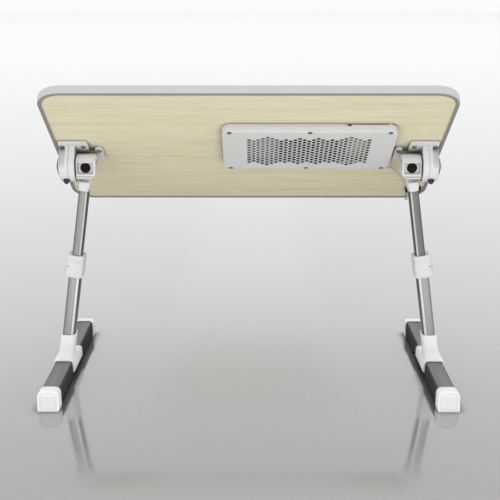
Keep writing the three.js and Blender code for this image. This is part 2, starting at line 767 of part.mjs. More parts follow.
/** The moulded bracket: screw plate with a lug, and the housing that carries the tilt hub. */
function bracket() {
  const { plateNear, plateFar, plateInner, plateThickness, lugInner, lugWidth, lugHalfLength } = BRACKET;
  const { radius, chamfer, bridgeNear, notchRadius } = BRACKET;
  const plateWidth = BRACKET_OUTER + plateInner;
  const plate = extrude(
    'z',
    roundedRectangle(plateWidth, plateNear + plateFar, 4, (BRACKET_OUTER - plateInner) / 2, (plateFar - plateNear) / 2),
    PLATE_BOTTOM,
    plateThickness,
    1,
  );
  const lugX = lugWidth / 2 - lugInner;
  const lug = extrude(
    'z',
    roundedRectangle(lugWidth, 2 * lugHalfLength, lugWidth / 2 - 0.01, lugX, 0),
    PLATE_BOTTOM,
    plateThickness,
    1,
  );
  const bridge = block([lugX, -bridgeNear, PLATE_BOTTOM], [0, lugHalfLength - 4, FIXED_TO]);
  const housing = loft([
    housingOutline(radius, BRACKET_INNER),
    housingOutline(radius, BRACKET_OUTER - chamfer),
    housingOutline(radius - chamfer, BRACKET_OUTER),
  ]);
  const hubSeat = KNUCKLE.hubLength + KNUCKLE.halfWidth + 0.6;
  const pocket = rod('x', KNUCKLE.hubRadius + RUN, 0, hubSeat, [0, 0], 12);
  const buttonBore = rod('x', TILT_BUTTON.radius + RUN, 0, BRACKET_OUTER + 1, [0, 0], 10);
  const bumperBore = rod('z', BUMPER.plugRadius + GAP, -radius - 1, BUMPER.plugLength + 1.5, [BUMPER.x, 0], 8);
  const [notchX, notchY] = bracketScrewPlaces[0];
  const notch = rod('z', notchRadius, -radius - 1, PLATE_BOTTOM + radius + 1, [notchX, notchY], 8);
  const bores = bracketScrewPlaces.map((at) =>
    rod('z', SCREW.shankRadius + GAP, PLATE_BOTTOM - 1, plateThickness + 2, at, 6),
  );
  return cut(join(plate, lug, bridge, housing), pocket, buttonBore, bumperBore, notch, ...bores);
}

/** The dark ring round the tilt button. */
function tiltBezel() {
  const { radius, thickness, rim } = BEZEL;
  const start = BRACKET_OUTER + GAP;
  const bore = TILT_BUTTON.radius + RUN;
  return revolve(
    [
      [bore, start],
      [radius, start],
      [radius, start + thickness - rim],
      [radius - rim, start + thickness],
      [bore, start + thickness],
      [bore, start],
    ],
    16,
  ).rotateY(Math.PI / 2);
}

/** The push button that frees the tilt, with a domed end. */
function tiltButton() {
  const { radius, proud, length } = TILT_BUTTON;
  const end = BRACKET_OUTER + GAP + BEZEL.thickness + proud;
  return revolve(
    [
      [0, end - length],
      [radius, end - length],
      [radius, end - 1.2],
      [radius * 0.75, end - 0.3],
      [0, end],
    ],
    10,
  ).rotateY(Math.PI / 2);
}

/** The rubber bumper under the housing, with its plug. */
function bumper() {
  const { x, radius, tipRadius, height, plugRadius, plugLength } = BUMPER;
  const seat = -BRACKET.radius - GAP;
  return revolve(
    [
      [0, seat - height],
      [tipRadius, seat - height],
      [radius, seat - 0.8],
      [radius, seat],
      [plugRadius, seat],
      [plugRadius, seat + plugLength],
      [0, seat + plugLength],
    ],
    8,
  ).translate(x, 0, 0);
}

// ---------------------------------------------------------------- knuckle

/** The knuckle seen from the side: flat front and bottom, round top about the tilt axis. */
function knuckleProfile() {
  const { front, back, topRadius, bottom } = KNUCKLE;
  const frontAngle = Math.PI - Math.asin(Math.sqrt(1 - (front / topRadius) ** 2));
  const backAngle = Math.asin(Math.sqrt(1 - (back / topRadius) ** 2));
  const shape = new THREE.Shape();
  shape.moveTo(-front, -bottom + 1.5);
  shape.lineTo(-front + 1.5, -bottom);
  shape.lineTo(back - 1.5, -bottom);
  shape.lineTo(back, -bottom + 1.5);
  shape.absarc(0, 0, topRadius, backAngle, frontAngle, false);
  shape.closePath();
  return shape;
}

/** The moulded knuckle: a fork for the leg's neck, the fold button's seat and the tilt hub. */
function knuckle() {
  const { halfWidth, front, back, topRadius, bottom, outerWall, cornerRadius, hubRadius, hubLength } = KNUCKLE;
  const { windowDepth, windowWidth, windowHeight } = KNUCKLE;
  const body = extrude('x', knuckleProfile(), -halfWidth, 2 * halfWidth, 2);
  const corner = new THREE.Shape();
  corner.moveTo(halfWidth + 1, topRadius + 1);
  corner.lineTo(-halfWidth, topRadius + 1);
  corner.absarc(cornerRadius - halfWidth, cornerRadius - bottom, cornerRadius, Math.PI, 1.5 * Math.PI, false);
  corner.lineTo(halfWidth + 1, -bottom);
  corner.closePath();
  const rounded = common(body, extrude('y', corner, -front - 1, front + back + 2, 2));
  const hub = rod('x', hubRadius, halfWidth - 1, hubLength + 1, [0, 0], 12);
  const slotTop = NECK.headRadius + 0.8;
  const slotOutline = new THREE.Shape();
  slotOutline.moveTo(-halfWidth - 1, slotTop);
  slotOutline.lineTo(-halfWidth - 1, -bottom - 1);
  slotOutline.lineTo(halfWidth - outerWall + (bottom + 1) * Math.tan(radians(SPLAY)), -bottom - 1);
  slotOutline.lineTo(halfWidth - outerWall, 0);
  slotOutline.lineTo(halfWidth - outerWall, slotTop);
  slotOutline.closePath();
  const slot = extrude('y', slotOutline, -SLOT_HALF, 2 * SLOT_HALF);
  const window = extrude('y', roundedRectangle(windowWidth, windowHeight, 2, 0, -0.5), -front - 1, windowDepth + 1, 1);
  const seatDepth = front - SLOT_HALF - FOLD_PIN.seat;
  const buttonSeat = rod('y', BUTTON.foldRadius + RUN, -front - 1, seatDepth + 1, [0, 0], 12);
  const pinBore = rod('y', FOLD_PIN.radius + GAP, -front - 1, front + SLOT_HALF + FOLD_PIN.seat + GAP + 1, [0, 0], 12);
  const groove = block([-halfWidth - 1, -front - 1, -12.2], [halfWidth + 1, -front + 0.8, -10.8]);
  return cut(join(rounded, hub), slot, window, buttonSeat, pinBore, groove);
}

/** The hollow pin that the neck folds on. */
function foldPin() {
  const { radius, boreRadius, boreDepth, seat } = FOLD_PIN;
  const start = -SLOT_HALF - seat + 0.1;
  const length = 2 * (SLOT_HALF + seat) - 0.2;
  return cut(rod('y', radius, start, length, [0, 0], 12), rod('y', boreRadius, start - 1, boreDepth + 1, [0, 0], 12));
}

/** The black fold button and the stem that it pushes into the pin. */
function foldButton() {
  const { foldRadius, foldThickness, foldStemRadius, foldStem } = BUTTON;
  const face = -KNUCKLE.front + 0.6;
  return revolve(
    [
      [0, face + 0.5],
      [foldRadius - 2.6, face + 0.5],
      [foldRadius - 1.8, face],
      [foldRadius - 0.6, face],
      [foldRadius, face + 0.6],
      [foldRadius, face + foldThickness],
      [foldStemRadius, face + foldThickness],
      [foldStemRadius, face + foldThickness + foldStem],
      [0, face + foldThickness + foldStem],
    ],
    12,
  ).rotateX(-Math.PI / 2);
}

// ---------------------------------------------------------------- leg

/** The neck: a round head on the fold pin that widens into the tube's plug. */
function neck() {
  const { headRadius, headDepth, shoulder, bottomWidth, bottomDepth, spigot } = NECK;
  const head = rod('y', headRadius, -headDepth / 2, headDepth, [0, 0], 16);
  const shank = loft([
    level(UPPER_TUBE.width - 2 * UPPER_TUBE.wall - 2 * GAP, bottomDepth - 5, 2.5, -UPPER_TUBE.top - spigot, 0, 0, 1),
    level(UPPER_TUBE.width - 2 * UPPER_TUBE.wall - 2 * GAP, bottomDepth - 5, 2.5, -UPPER_TUBE.top + 1, 0, 0, 1),
  ]);
  const sleeve = loft([
    level(bottomWidth, bottomDepth, 5, -UPPER_TUBE.top + GAP),
    level(bottomWidth + 1, bottomDepth, 5, -shoulder - 5),
    level(bottomWidth + 2, headDepth + 2, 3, -shoulder),
    level(2 * headRadius - 0.6, headDepth, 0.6, -shoulder + 0.6),
    level(2 * headRadius, headDepth, 0.6, 0),
  ]);
  const bore = rod('y', FOLD_PIN.radius + RUN, -headDepth, 2 * headDepth, [0, 0], 12);
  return cut(join(head, sleeve, shank), bore);
}

/** A rounded-rectangle tube along -z between two distances from the fold axis. */
function tube({ width, depth, radius, wall }, from, to) {
  const outline = roundedRectangle(width, depth, radius);
  outline.holes.push(roundedRectangle(width - 2 * wall, depth - 2 * wall, radius - wall));
  return extrude('z', outline, -to, to - from, 1);
}

/** The outer face of the collar, where the height button sits. */
const COLLAR_FACE = COLLAR.outward + COLLAR.width / 2;

/** The collar on the lower tube, with its lip, seam and button pocket. */
function collar() {
  const { width, outward, depth, cornerRadius, top, height, lip, seam, seamDepth } = COLLAR;
  const ring = (inset, fromTop) =>
    level(width - 2 * inset, depth - 2 * inset, cornerRadius - inset, -top - fromTop, outward, 0, 1);
  const body = loft([
    ring(1.2, height),
    ring(0.2, height - 2),
    ring(0, seam + 0.9),
    ring(seamDepth, seam + 0.6),
    ring(seamDepth, seam),
    ring(0, seam - 0.3),
    ring(0, 1.4),
    ring(1, 0),
  ]);
  const { width: w, depth: d, radius: r } = LOWER_TUBE;
  const bore = extrude('z', roundedRectangle(w + 2 * GAP, d + 2 * GAP, r + GAP), -top - height - 1, height + 1 - lip, 1);
  const mouth = extrude(
    'z',
    roundedRectangle(UPPER_TUBE.width + 2 * RUN, UPPER_TUBE.depth + 2 * RUN, UPPER_TUBE.radius + RUN),
    -top - lip - 1,
    lip + 2,
    1,
  );
  return cut(body, bore, mouth, heightButtonShape(RUN, COLLAR_FACE - HEIGHT_BUTTON.pocket, HEIGHT_BUTTON.pocket + 2));
}

/** The height button's outline pushed outward along x. */
function heightButtonShape(grow, start, length) {
  const { width, height, fromTop } = HEIGHT_BUTTON;
  const z = -COLLAR.top - fromTop;
  const outline = roundedRectangle(width + 2 * grow, height + 2 * grow, width / 2 - 1 + grow, 0, z);
  return extrude('x', outline, start, length, 1);
}

/** The push button that frees the height lock. */
function heightButton() {
  const { thickness, proud } = HEIGHT_BUTTON;
  return heightButtonShape(0, COLLAR_FACE + proud - thickness, thickness);
}

// ---------------------------------------------------------------- foot

/** The bar's section: a flat top with long rounded shoulders. */
function barShape(grow, bottom) {
  const { width, height, floorGap, flat, shoulder } = BAR;
  const [half, top, side] = [width / 2 + grow, floorGap + height + grow, floorGap + height - shoulder];
  const shape = new THREE.Shape();
  shape.moveTo(-half, bottom);
  shape.lineTo(half, bottom);
  shape.lineTo(half, side);
  shape.quadraticCurveTo(half, top - 1, flat / 2 + grow, top);
  shape.lineTo(-flat / 2 - grow, top);
  shape.quadraticCurveTo(-half, top - 1, -half, side);
  shape.closePath();
  return shape;
}

/** The hollow foot bar between its two caps. */
function footBar() {
  const end = BAR.length / 2 - CAP.face;
  const outline = barShape(0, BAR.floorGap);
  outline.holes.push(barShape(-BAR.wall, BAR.floorGap + BAR.wall));
  return extrude('y', outline, -end + GAP, 2 * end - 2 * GAP, 2);
}

/** A cap's outline: square at the floor, round at the top. */
function capShape(inset) {
  const { width, height, cornerRadius } = CAP;
  const [half, top, radius] = [width / 2 - inset, height - inset, cornerRadius - inset * 0.6];
  const shape = new THREE.Shape();
  shape.moveTo(-half, inset);
  shape.lineTo(half, inset);
  shape.absarc(half - radius, top - radius, radius, 0, Math.PI / 2, false);
  shape.absarc(-half + radius, top - radius, radius, Math.PI / 2, Math.PI, false);
  shape.closePath();
  return shape;
}

/** A cap's side view as a wide slab: a face that leans back to a rounded top edge, set back by `inset`. */
function capSide(inset) {
  const { width, height, depth, lean, topRound } = CAP;
  const start = -BAR.length / 2 + inset;
  const shape = new THREE.Shape();
  shape.moveTo(start, -1);
  shape.lineTo(start, 0);
  shape.lineTo(start + lean, height - topRound);
  shape.quadraticCurveTo(start + lean + 1, height, start + lean + 1 + topRound, height);
  shape.lineTo(start + depth + 1, height);
  shape.lineTo(start + depth + 1, -1);
  shape.closePath();
  return extrude('x', shape, -width, 2 * width, 2);
}

/** A foot cap, its face toward -y: a sleeve over the bar's end with a ribbed, sunken panel in its face. */
function footCap() {
  const { width, height, depth, face, lean, topRound, panelInset, panelDepth, ribs, ribWidth } = CAP;
  const start = -BAR.length / 2;
  const body = common(extrude('y', capShape(0), start, depth, 2), capSide(0));
  const sleeve = extrude('y', barShape(GAP, BAR.floorGap - GAP), start + face, depth, 2);
  const front = extrude('y', capShape(panelInset), start - 1, lean + topRound, 2);
  const field = width - 2 * panelInset;
  const slats = Array.from({ length: ribs }, (_, i) => {
    const x = -field / 2 + ((i + 0.5) * field) / ribs;
    return block([x - ribWidth / 2, start - 1, panelInset + 1], [x + ribWidth / 2, start + face - 1, height - topRound - 2.5]);
  });
  const panel = cut(front, capSide(panelDepth), common(join(...slats), capSide(0.3)));
  return cut(body, sleeve, panel);
}

/** The saddle that grips the bar and the socket that holds the lower tube, in the foot frame. */
function saddle() {
  const { front, back, wall, lipHeight, backRound, socketTop, socketWall, flareBack, flareRise } = SADDLE;
  const y = KNUCKLE.axisY;
  const lean = Math.tan(radians(SPLAY));
  const axisX = (z) => -(z - BAR_AXIS) * lean;
  const seat = BAR.floorGap + BAR.height;
  const top = seat + GAP + wall;
  const side = new THREE.Shape();
  side.moveTo(y - front, 0);
  side.lineTo(y - front, top - 1);
  side.lineTo(y - front + 1, top);
  side.lineTo(y + back - backRound, top);
  side.absarc(y + back - backRound, top - backRound, backRound, Math.PI / 2, 0, true);
  side.lineTo(y + back, 0);
  side.closePath();
  const hood = extrude('y', barShape(GAP + wall, lipHeight), y - front, front + back, 2);
  const wrap = common(hood, extrude('x', side, -BAR.width, 2 * BAR.width, 2));
  const width = LOWER_TUBE.width + 2 * (GAP + socketWall);
  const depth = LOWER_TUBE.depth + 2 * (GAP + socketWall);
  const flare = (wide, inset, z) => {
    const [low, high] = [y - front + inset, y + flareBack - 2 * inset];
    return level(wide, high - low, 6, z, axisX(z), (low + high) / 2);
  };
  const socket = loft([
    flare(BAR.flat + 4, 0.4, seat - 3),
    flare(BAR.flat + 3.6, 0.6, seat + 3),
    flare(width + 1, 1.8, seat + 5),
    level(width, depth, 6, seat + flareRise, axisX(seat + flareRise), y),
    level(width, depth, 6, socketTop, axisX(socketTop), y),
  ]);
  const bar = extrude('y', barShape(GAP, -1), y - front - 1, front + back + 2, 2);
  const outside = roundedRectangle(LOWER_TUBE.width + 2 * GAP, LOWER_TUBE.depth + 2 * GAP, LOWER_TUBE.radius + GAP);
  const bore = extrude('z', outside, SOCKET_FLOOR - BAR_AXIS, socketTop, 1)
    .rotateY(-radians(SPLAY))
    .translate(0, y, BAR_AXIS);
  return cut(join(wrap, socket), bar, bore);
}

// ---------------------------------------------------------------- assembly

piece(topGroup, 'tabletop_panel', topPanel(), veneer);
piece(topGroup, 'edge_trim', edgeTrim(), greyTrim);
piece(topGroup, 'stop_ledge', stopLedge(), greyPlastic);
piece(topGroup, 'fan_tray', fanTray(), greyPlastic);
piece(topGroup, 'fan_cover', fanCover(), greyPlastic);
piece(topGroup, 'fan_frame', fanFrame(), blackPlastic);
piece(topGroup, 'fan_rotor', fanRotor(), blackPlastic);
coverScrewPlaces.forEach(([x, y], i) => {
  const seat = COVER_FACE + SCREW.headHeight + GAP;
  piece(topGroup, `cover_screw_${i + 1}`, screw(FIXED_TO - seat).translate(x, y, seat - GAP / 2), steel);
});
piece(topGroup, 'lead_strain_relief', strainRelief(), greyPlastic);
piece(topGroup, 'usb_lead', cord(leadRoute, LEAD.steps), greyPlastic);
piece(topGroup, 'usb_lead_coil', coilRing(), greyPlastic);
piece(topGroup, 'usb_lead_tail', cord(leadTail, 4), greyPlastic);
piece(topGroup, 'lead_tie', leadTie(), blackPlastic);
piece(topGroup, 'usb_plug_grip', plugBody(), greyPlastic);
piece(topGroup, 'usb_plug_shell', plugShell(), steel);
piece(topGroup, 'lead_clip', leadClip(), blackPlastic);

for (const [name, side] of [['left', -1], ['right', 1]]) {
  const handed = (geometry) => (side < 0 ? mirrored(geometry) : geometry);

  const bracketGroup = new THREE.Group();
  bracketGroup.position.x = side * KNUCKLE.fromMiddle;
  topGroup.add(bracketGroup);
  piece(bracketGroup, `bracket_${name}`, handed(bracket()), whitePlastic);
  bracketScrewPlaces.forEach(([x, y], i) => {
    const fastener = screw(BRACKET.plateThickness).translate(x, y, PLATE_BOTTOM - GAP);
    piece(bracketGroup, `bracket_screw_${name}_${i + 1}`, handed(fastener), steel);
  });
  piece(bracketGroup, `tilt_bezel_${name}`, handed(tiltBezel()), darkPlastic);
  piece(bracketGroup, `tilt_button_${name}`, handed(tiltButton()), whitePlastic);
  piece(bracketGroup, `bumper_${name}`, handed(bumper()), rubber);

  const knuckleGroup = new THREE.Group();
  knuckleGroup.position.set(side * KNUCKLE.fromMiddle, KNUCKLE.axisY, KNUCKLE.axisHeight);
  table.add(knuckleGroup);
  piece(knuckleGroup, `knuckle_${name}`, handed(knuckle()), whitePlastic);
  piece(knuckleGroup, `fold_pin_${name}`, handed(foldPin()), steel);
  piece(knuckleGroup, `fold_button_${name}`, handed(foldButton()), blackPlastic);

  const legGroup = new THREE.Group();
  legGroup.rotation.y = -side * radians(SPLAY);
  knuckleGroup.add(legGroup);
  piece(legGroup, `neck_${name}`, handed(neck()), whitePlastic);
  const upperEnd = COLLAR.top + UPPER_TUBE.overlap;
  piece(legGroup, `upper_tube_${name}`, tube(UPPER_TUBE, UPPER_TUBE.top, upperEnd), aluminium);
  piece(legGroup, `collar_${name}`, handed(collar()), whitePlastic);
  piece(legGroup, `height_button_${name}`, handed(heightButton()), whitePlastic);
  piece(legGroup, `lower_tube_${name}`, tube(LOWER_TUBE, LOWER_TUBE_TOP, LOWER_TUBE_END), aluminium);

  const footGroup = new THREE.Group();
  footGroup.position.x = side * FOOT_X;
  table.add(footGroup);
  piece(footGroup, `saddle_${name}`, handed(saddle()), whitePlastic);
  piece(footGroup, `foot_bar_${name}`, footBar(), anodised);
  piece(footGroup, `front_cap_${name}`, footCap(), whitePlastic);
  piece(footGroup, `rear_cap_${name}`, footCap().rotateZ(Math.PI), whitePlastic);
}

export default table;
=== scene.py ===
"""Folding laptop cooling table, dressed round its construction model.

Pieces are drawn in millimetres in the frame of the sub-assembly that carries them, and are then
placed in the row frame in metres.

    top frame      origin on the tilt axis, y toward the low edge, z out of the working surface
    knuckle frame  origin where the tilt axis and the fold axis cross, upright, x outward
    bracket frame  the knuckle frame tilted with the top
    leg frame      the knuckle frame turned by the splay, -z down the leg
    foot frame     origin on the floor under the foot bar's middle, x outward
"""

import json
import logging
from collections.abc import Callable, Iterable, Sequence
from dataclasses import dataclass
from enum import Enum
from math import acos, atan2, copysign, cos, degrees, exp, hypot, inf, pi, radians, sin, sqrt, tan

import bmesh
import bpy
from mathutils import Matrix, Vector


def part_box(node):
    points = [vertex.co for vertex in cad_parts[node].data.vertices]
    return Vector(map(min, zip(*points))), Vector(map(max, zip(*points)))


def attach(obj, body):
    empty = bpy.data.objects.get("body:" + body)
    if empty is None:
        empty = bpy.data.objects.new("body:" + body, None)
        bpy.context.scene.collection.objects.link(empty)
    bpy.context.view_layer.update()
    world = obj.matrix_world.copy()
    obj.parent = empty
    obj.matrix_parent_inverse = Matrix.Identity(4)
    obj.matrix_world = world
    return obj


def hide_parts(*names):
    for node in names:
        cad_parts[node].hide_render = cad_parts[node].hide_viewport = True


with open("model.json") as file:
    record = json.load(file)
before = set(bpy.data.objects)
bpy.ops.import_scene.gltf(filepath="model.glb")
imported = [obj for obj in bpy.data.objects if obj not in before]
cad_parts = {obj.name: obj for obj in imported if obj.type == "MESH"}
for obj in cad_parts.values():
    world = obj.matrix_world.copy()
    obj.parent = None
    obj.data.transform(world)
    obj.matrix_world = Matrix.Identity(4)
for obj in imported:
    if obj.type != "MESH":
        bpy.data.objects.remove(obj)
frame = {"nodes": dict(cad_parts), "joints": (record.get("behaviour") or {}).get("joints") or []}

LOG = logging.getLogger("cooling_table")
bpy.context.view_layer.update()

Point = tuple[float, float]
Spot = tuple[float, float, float]
Rows = tuple[Point, ...]
Outline = list[Point]
Ring = list[Vector]
Object = bpy.types.Object
Material = bpy.types.Material
Tree = bpy.types.NodeTree
Socket = bpy.types.NodeSocket

MM = 0.001
MERGE = 1e-5  # points nearer than this are one, in the unit of the mesh
BITE = 0.5  # how far joined solids run into each other, in millimetres
OUTWARD = Matrix.Rotation(pi / 2, 4, "Y")  # lays a z axis along x
FORWARD = Matrix.Rotation(pi / 2, 4, "X")  # lays a z axis toward -y

# Centres of the bracket's screws in (x, y) of the bracket frame.
BRACKET_SCREWS: Rows = ((30.9, -20.7), (3.0, -20.7), (-16.6, -9.0))


class Side(Enum):
    """The side of the table that a handed piece belongs to, with its sign along x."""

    LEFT = -1
    RIGHT = 1

    @property
    def label(self) -> str:
        """The side's name as node names have it."""
        return self.name.lower()


# ---- colours and nodes

DRIFT_SCALE = 35.0  # per metre: the tone of a moulded face drifts over some 30 mm
SKY_SAMPLES = 8  # rays that tell an open face from a crease


def linear(colour: str) -> tuple[float, float, float, float]:
    """Turns an sRGB colour, six hex digits after a hash sign, into linear RGBA."""
    values = (int(colour[i : i + 2], 16) / 255 for i in (1, 3, 5))
    return (*(v / 12.92 if v <= 0.04045 else ((v + 0.055) / 1.055) ** 2.4 for v in values), 1.0)


def add(
    tree: Tree, kind: str, inputs: dict | None = None, out: str | int = 0, **settings: object
) -> Socket | None:
    """Adds a node with its settings and links.

    Args:
        tree: The node's tree.
        kind: The node's type.
        inputs: Input name or number to a value or the output that feeds it.
        out: Name or number of the wanted output.
        **settings: The node's own properties.

    Returns:
        That output, or None if the node has none.
    """
    made = tree.nodes.new(kind)
    for key, value in settings.items():
        setattr(made, key, value)
    for key, value in (inputs or {}).items():
        if isinstance(value, Socket):
            tree.links.new(value, made.inputs[key])
        else:
            made.inputs[key].default_value = value
    return made.outputs[out] if made.outputs else None


def set_stops(ramp: Socket, stops: Sequence[tuple[float, str]]) -> Socket:
    """Lays colours along a new ramp.

    Args:
        ramp: The ramp's output.
        stops: Place from 0 to 1 and colour of each stop, in order.

    Returns:
        The same output.
    """
    elements = ramp.node.color_ramp.elements
    while len(elements) < len(stops):
        elements.new(0.5)
    for element, (at, colour) in zip(elements, stops):
        element.position = at
        element.color = linear(colour)
    return ramp


def between(low: float, high: float) -> dict[str, float]:
    """The ends of a span whose values a node maps."""
    return {"From Min": low, "From Max": high}


NOISE_BAND = between(0.3, 0.7)  # nearly all values of a noise lie here


def new_material(name: str) -> Material:
    """Makes a material with an empty tree.

    Args:
        name: Its name.

    Returns:
        The material.
    """
    made = bpy.data.materials.new(name)
    made.use_nodes = True
    made.node_tree.nodes.clear()
    return made


# ---- kinds of finish


@dataclass(frozen=True)
class Finish:
    """A moulded or plated finish: one colour that drifts a little, and a fine grain.

    The crease fields paint shade: they darken what lies within crease_mm of another face, as
    painted shade in creases and corners. crease_open is the share of open sky from which on a face
    keeps its full tone.
    """

    name: str
    slot: str
    colour: str = "#808080"
    roughness: float = 0.4
    roughness_swing: float = 0.1
    metallic: float = 0.0
    ior: float = 1.5
    grain_mm: float = 0.5
    bump: float = 0.03
    mottle: float = 0.03
    crease: float = 0.0
    crease_mm: float = 5.0
    crease_shut: float = 0.25
    crease_open: float = 0.92
    edge_tint: float = 1.0

    @property
    def sheen(self) -> dict[str, float]:
        """The ends between which the roughness swings."""
        least, most = (self.roughness * (1 + self.roughness_swing * way) for way in (-1, 1))
        return {"To Min": least, "To Max": most}

    def surface(self, tree: Tree, place: Socket) -> dict[str, Socket]:
        """Builds the colour and height patterns.

        Args:
            tree: The material's tree.
            place: Object coordinates.

        Returns:
            The "colour", "height" and "roughness" sockets.
        """
        fine = {"Vector": place, "Scale": 1 / (self.grain_mm * MM), "Detail": 2.0}
        broad = {"Vector": place, "Scale": DRIFT_SCALE, "Detail": 3.0}
        grain = add(tree, "ShaderNodeTexNoise", fine)
        drift = add(tree, "ShaderNodeTexNoise", broad)
        base = linear(self.colour)[:3]
        darker = (*(c * (1 - self.mottle) for c in base), 1.0)
        lighter = (*(min(1.0, c * (1 + self.mottle)) for c in base), 1.0)
        blend = {"Factor": drift, "A": darker, "B": lighter}
        colour = add(tree, "ShaderNodeMix", blend, out=2, data_type="RGBA")
        rough = add(tree, "ShaderNodeMapRange", {"Value": drift} | NOISE_BAND | self.sheen)
        return {"colour": colour, "height": grain, "roughness": rough}

    def build(self) -> Material:
        """Makes the material, or finds it.

        Returns:
            The material.
        """
        known = bpy.data.materials.get(self.name)
        if known:
            return known
        material = new_material(self.name)
        tree = material.node_tree
        made = self.surface(tree, add(tree, "ShaderNodeTexCoord", out="Object"))
        colour = made["colour"]
        # Painted shade: the colour darkens near other faces, as shade falls in creases and corners.
        if self.crease:
            reach = {"Distance": self.crease_mm * MM}
            near = add(tree, "ShaderNodeAmbientOcclusion", reach, "AO", samples=SKY_SAMPLES)
            span = {"Value": near, "To Min": 1 - self.crease}
            span |= between(self.crease_shut, self.crease_open)
            scaled = {0: colour, "Scale": add(tree, "ShaderNodeMapRange", span)}
            colour = add(tree, "ShaderNodeVectorMath", scaled, operation="SCALE")
        height = {"Height": made["height"], "Strength": self.bump, "Distance": self.grain_mm * MM}
        looks = {"Base Color": colour, "Roughness": made["roughness"]}
        looks |= {"Metallic": self.metallic, "Normal": add(tree, "ShaderNodeBump", height)}
        if self.metallic:
            looks["Specular Tint"] = (*(self.edge_tint,) * 3, 1.0)
        else:
            looks["IOR"] = self.ior
        shader = add(tree, "ShaderNodeBsdfPrincipled", looks)
        add(tree, "ShaderNodeOutputMaterial", {"Surface": shader})
        return material


@dataclass(frozen=True)
class WoodFoil(Finish):
    """Printed wood-grain foil on a board: fine streaks along the table's width, under varnish."""

    streak_light: str = "#ffffff"
    streak_dark: str = "#000000"
    streak_length_mm: float = 90.0
    streak_width_mm: float = 2.6
    # Share of the streak's width, share of its length, and detail of each layer of streaks.
    layers: tuple[Spot, ...] = ((1.0, 1.0, 3.0), (4.5, 2.5, 2.0), (0.4, 0.4, 2.0))
    raggedness: float = 0.55
    contrast: Point = (1.12, 1.88)
    middle_at: float = 0.55
    tilt: float = 0.0

    def surface(self, tree: Tree, place: Socket) -> dict[str, Socket]:
        """Lays three tones along the sum of the layers of streaks.

        Args:
            tree: The material's tree.
            place: Object coordinates.

        Returns:
            The "colour", "height" and "roughness" sockets.
        """
        turned = {"Vector": place, "Rotation": (self.tilt, 0.0, 0.0)}
        flat = add(tree, "ShaderNodeMapping", turned)
        total = 0.0
        for width_share, length_share, detail in self.layers:
            along = 1 / (self.streak_length_mm * length_share * MM)
            across = 1 / (self.streak_width_mm * width_share * MM)
            drawn = {"Vector": flat, "Scale": (along, across, across)}
            kind = {"Vector": add(tree, "ShaderNodeMapping", drawn), "Scale": 1.0}
            kind |= {"Detail": detail, "Roughness": self.raggedness}
            both = {0: total, 1: add(tree, "ShaderNodeTexNoise", kind)}
            total = add(tree, "ShaderNodeMath", both, operation="ADD")
        amount = add(tree, "ShaderNodeMapRange", {"Value": total} | between(*self.contrast))
        tones = ((0.0, self.streak_dark), (self.middle_at, self.colour), (1.0, self.streak_light))
        colour = set_stops(add(tree, "ShaderNodeValToRGB", {"Fac": amount}), tones)
        span = {"Value": amount} | between(1.0, 0.0) | self.sheen
        rough = add(tree, "ShaderNodeMapRange", span)
        return {"colour": colour, "height": total, "roughness": rough}


@dataclass(frozen=True)
class SectionTone(Finish):
    """A finish whose tone changes across the section, as the attribute "across" says.

    The stops are places from -1 to 1 with their tones; the bar, the tubes and the tray's inside
    use them for painted light and shade. Drawn metal has faint die lines along the section, whose z
    axis the turn brings upright; a moulding has an even grain.
    """

    stops: tuple[tuple[float, str], ...] = ()
    roughness_swing: float = 0.12
    metal_lines: bool = False
    turn: Spot = (0.0, 0.0, 0.0)
    line_mm: float = 1.2
    line_length_mm: float = 300.0

    def surface(self, tree: Tree, place: Socket) -> dict[str, Socket]:
        """Lays tones across the section, with lines or grain over them.

        Args:
            tree: The material's tree.
            place: Object coordinates.

        Returns:
            The "colour", "height" and "roughness" sockets.
        """
        across = add(tree, "ShaderNodeAttribute", out="Fac", attribute_name="across")
        share = add(tree, "ShaderNodeMapRange", {"Value": across} | between(-1.0, 1.0))
        tones = [((at + 1) / 2, colour) for at, colour in self.stops]
        tone = set_stops(add(tree, "ShaderNodeValToRGB", {"Fac": share}), tones)
        fine = 1 / (self.line_mm * MM)
        run = 1 / (self.line_length_mm * MM) if self.metal_lines else fine
        along = add(tree, "ShaderNodeMapping", {"Vector": place, "Rotation": self.turn})
        drawn = {"Vector": along, "Scale": (fine, fine, run)}
        kind = {"Vector": add(tree, "ShaderNodeMapping", drawn), "Scale": 1.0, "Detail": 3.0}
        lines = add(tree, "ShaderNodeTexNoise", kind)
        band = {"Value": lines} | NOISE_BAND
        shade = band | {"To Min": 1 - self.mottle, "To Max": 1 + self.mottle}
        scaled = {0: tone, "Scale": add(tree, "ShaderNodeMapRange", shade)}
        colour = add(tree, "ShaderNodeVectorMath", scaled, operation="SCALE")
        rough = add(tree, "ShaderNodeMapRange", band | self.sheen)
        return {"colour": colour, "height": lines, "roughness": rough}


# ---- frames


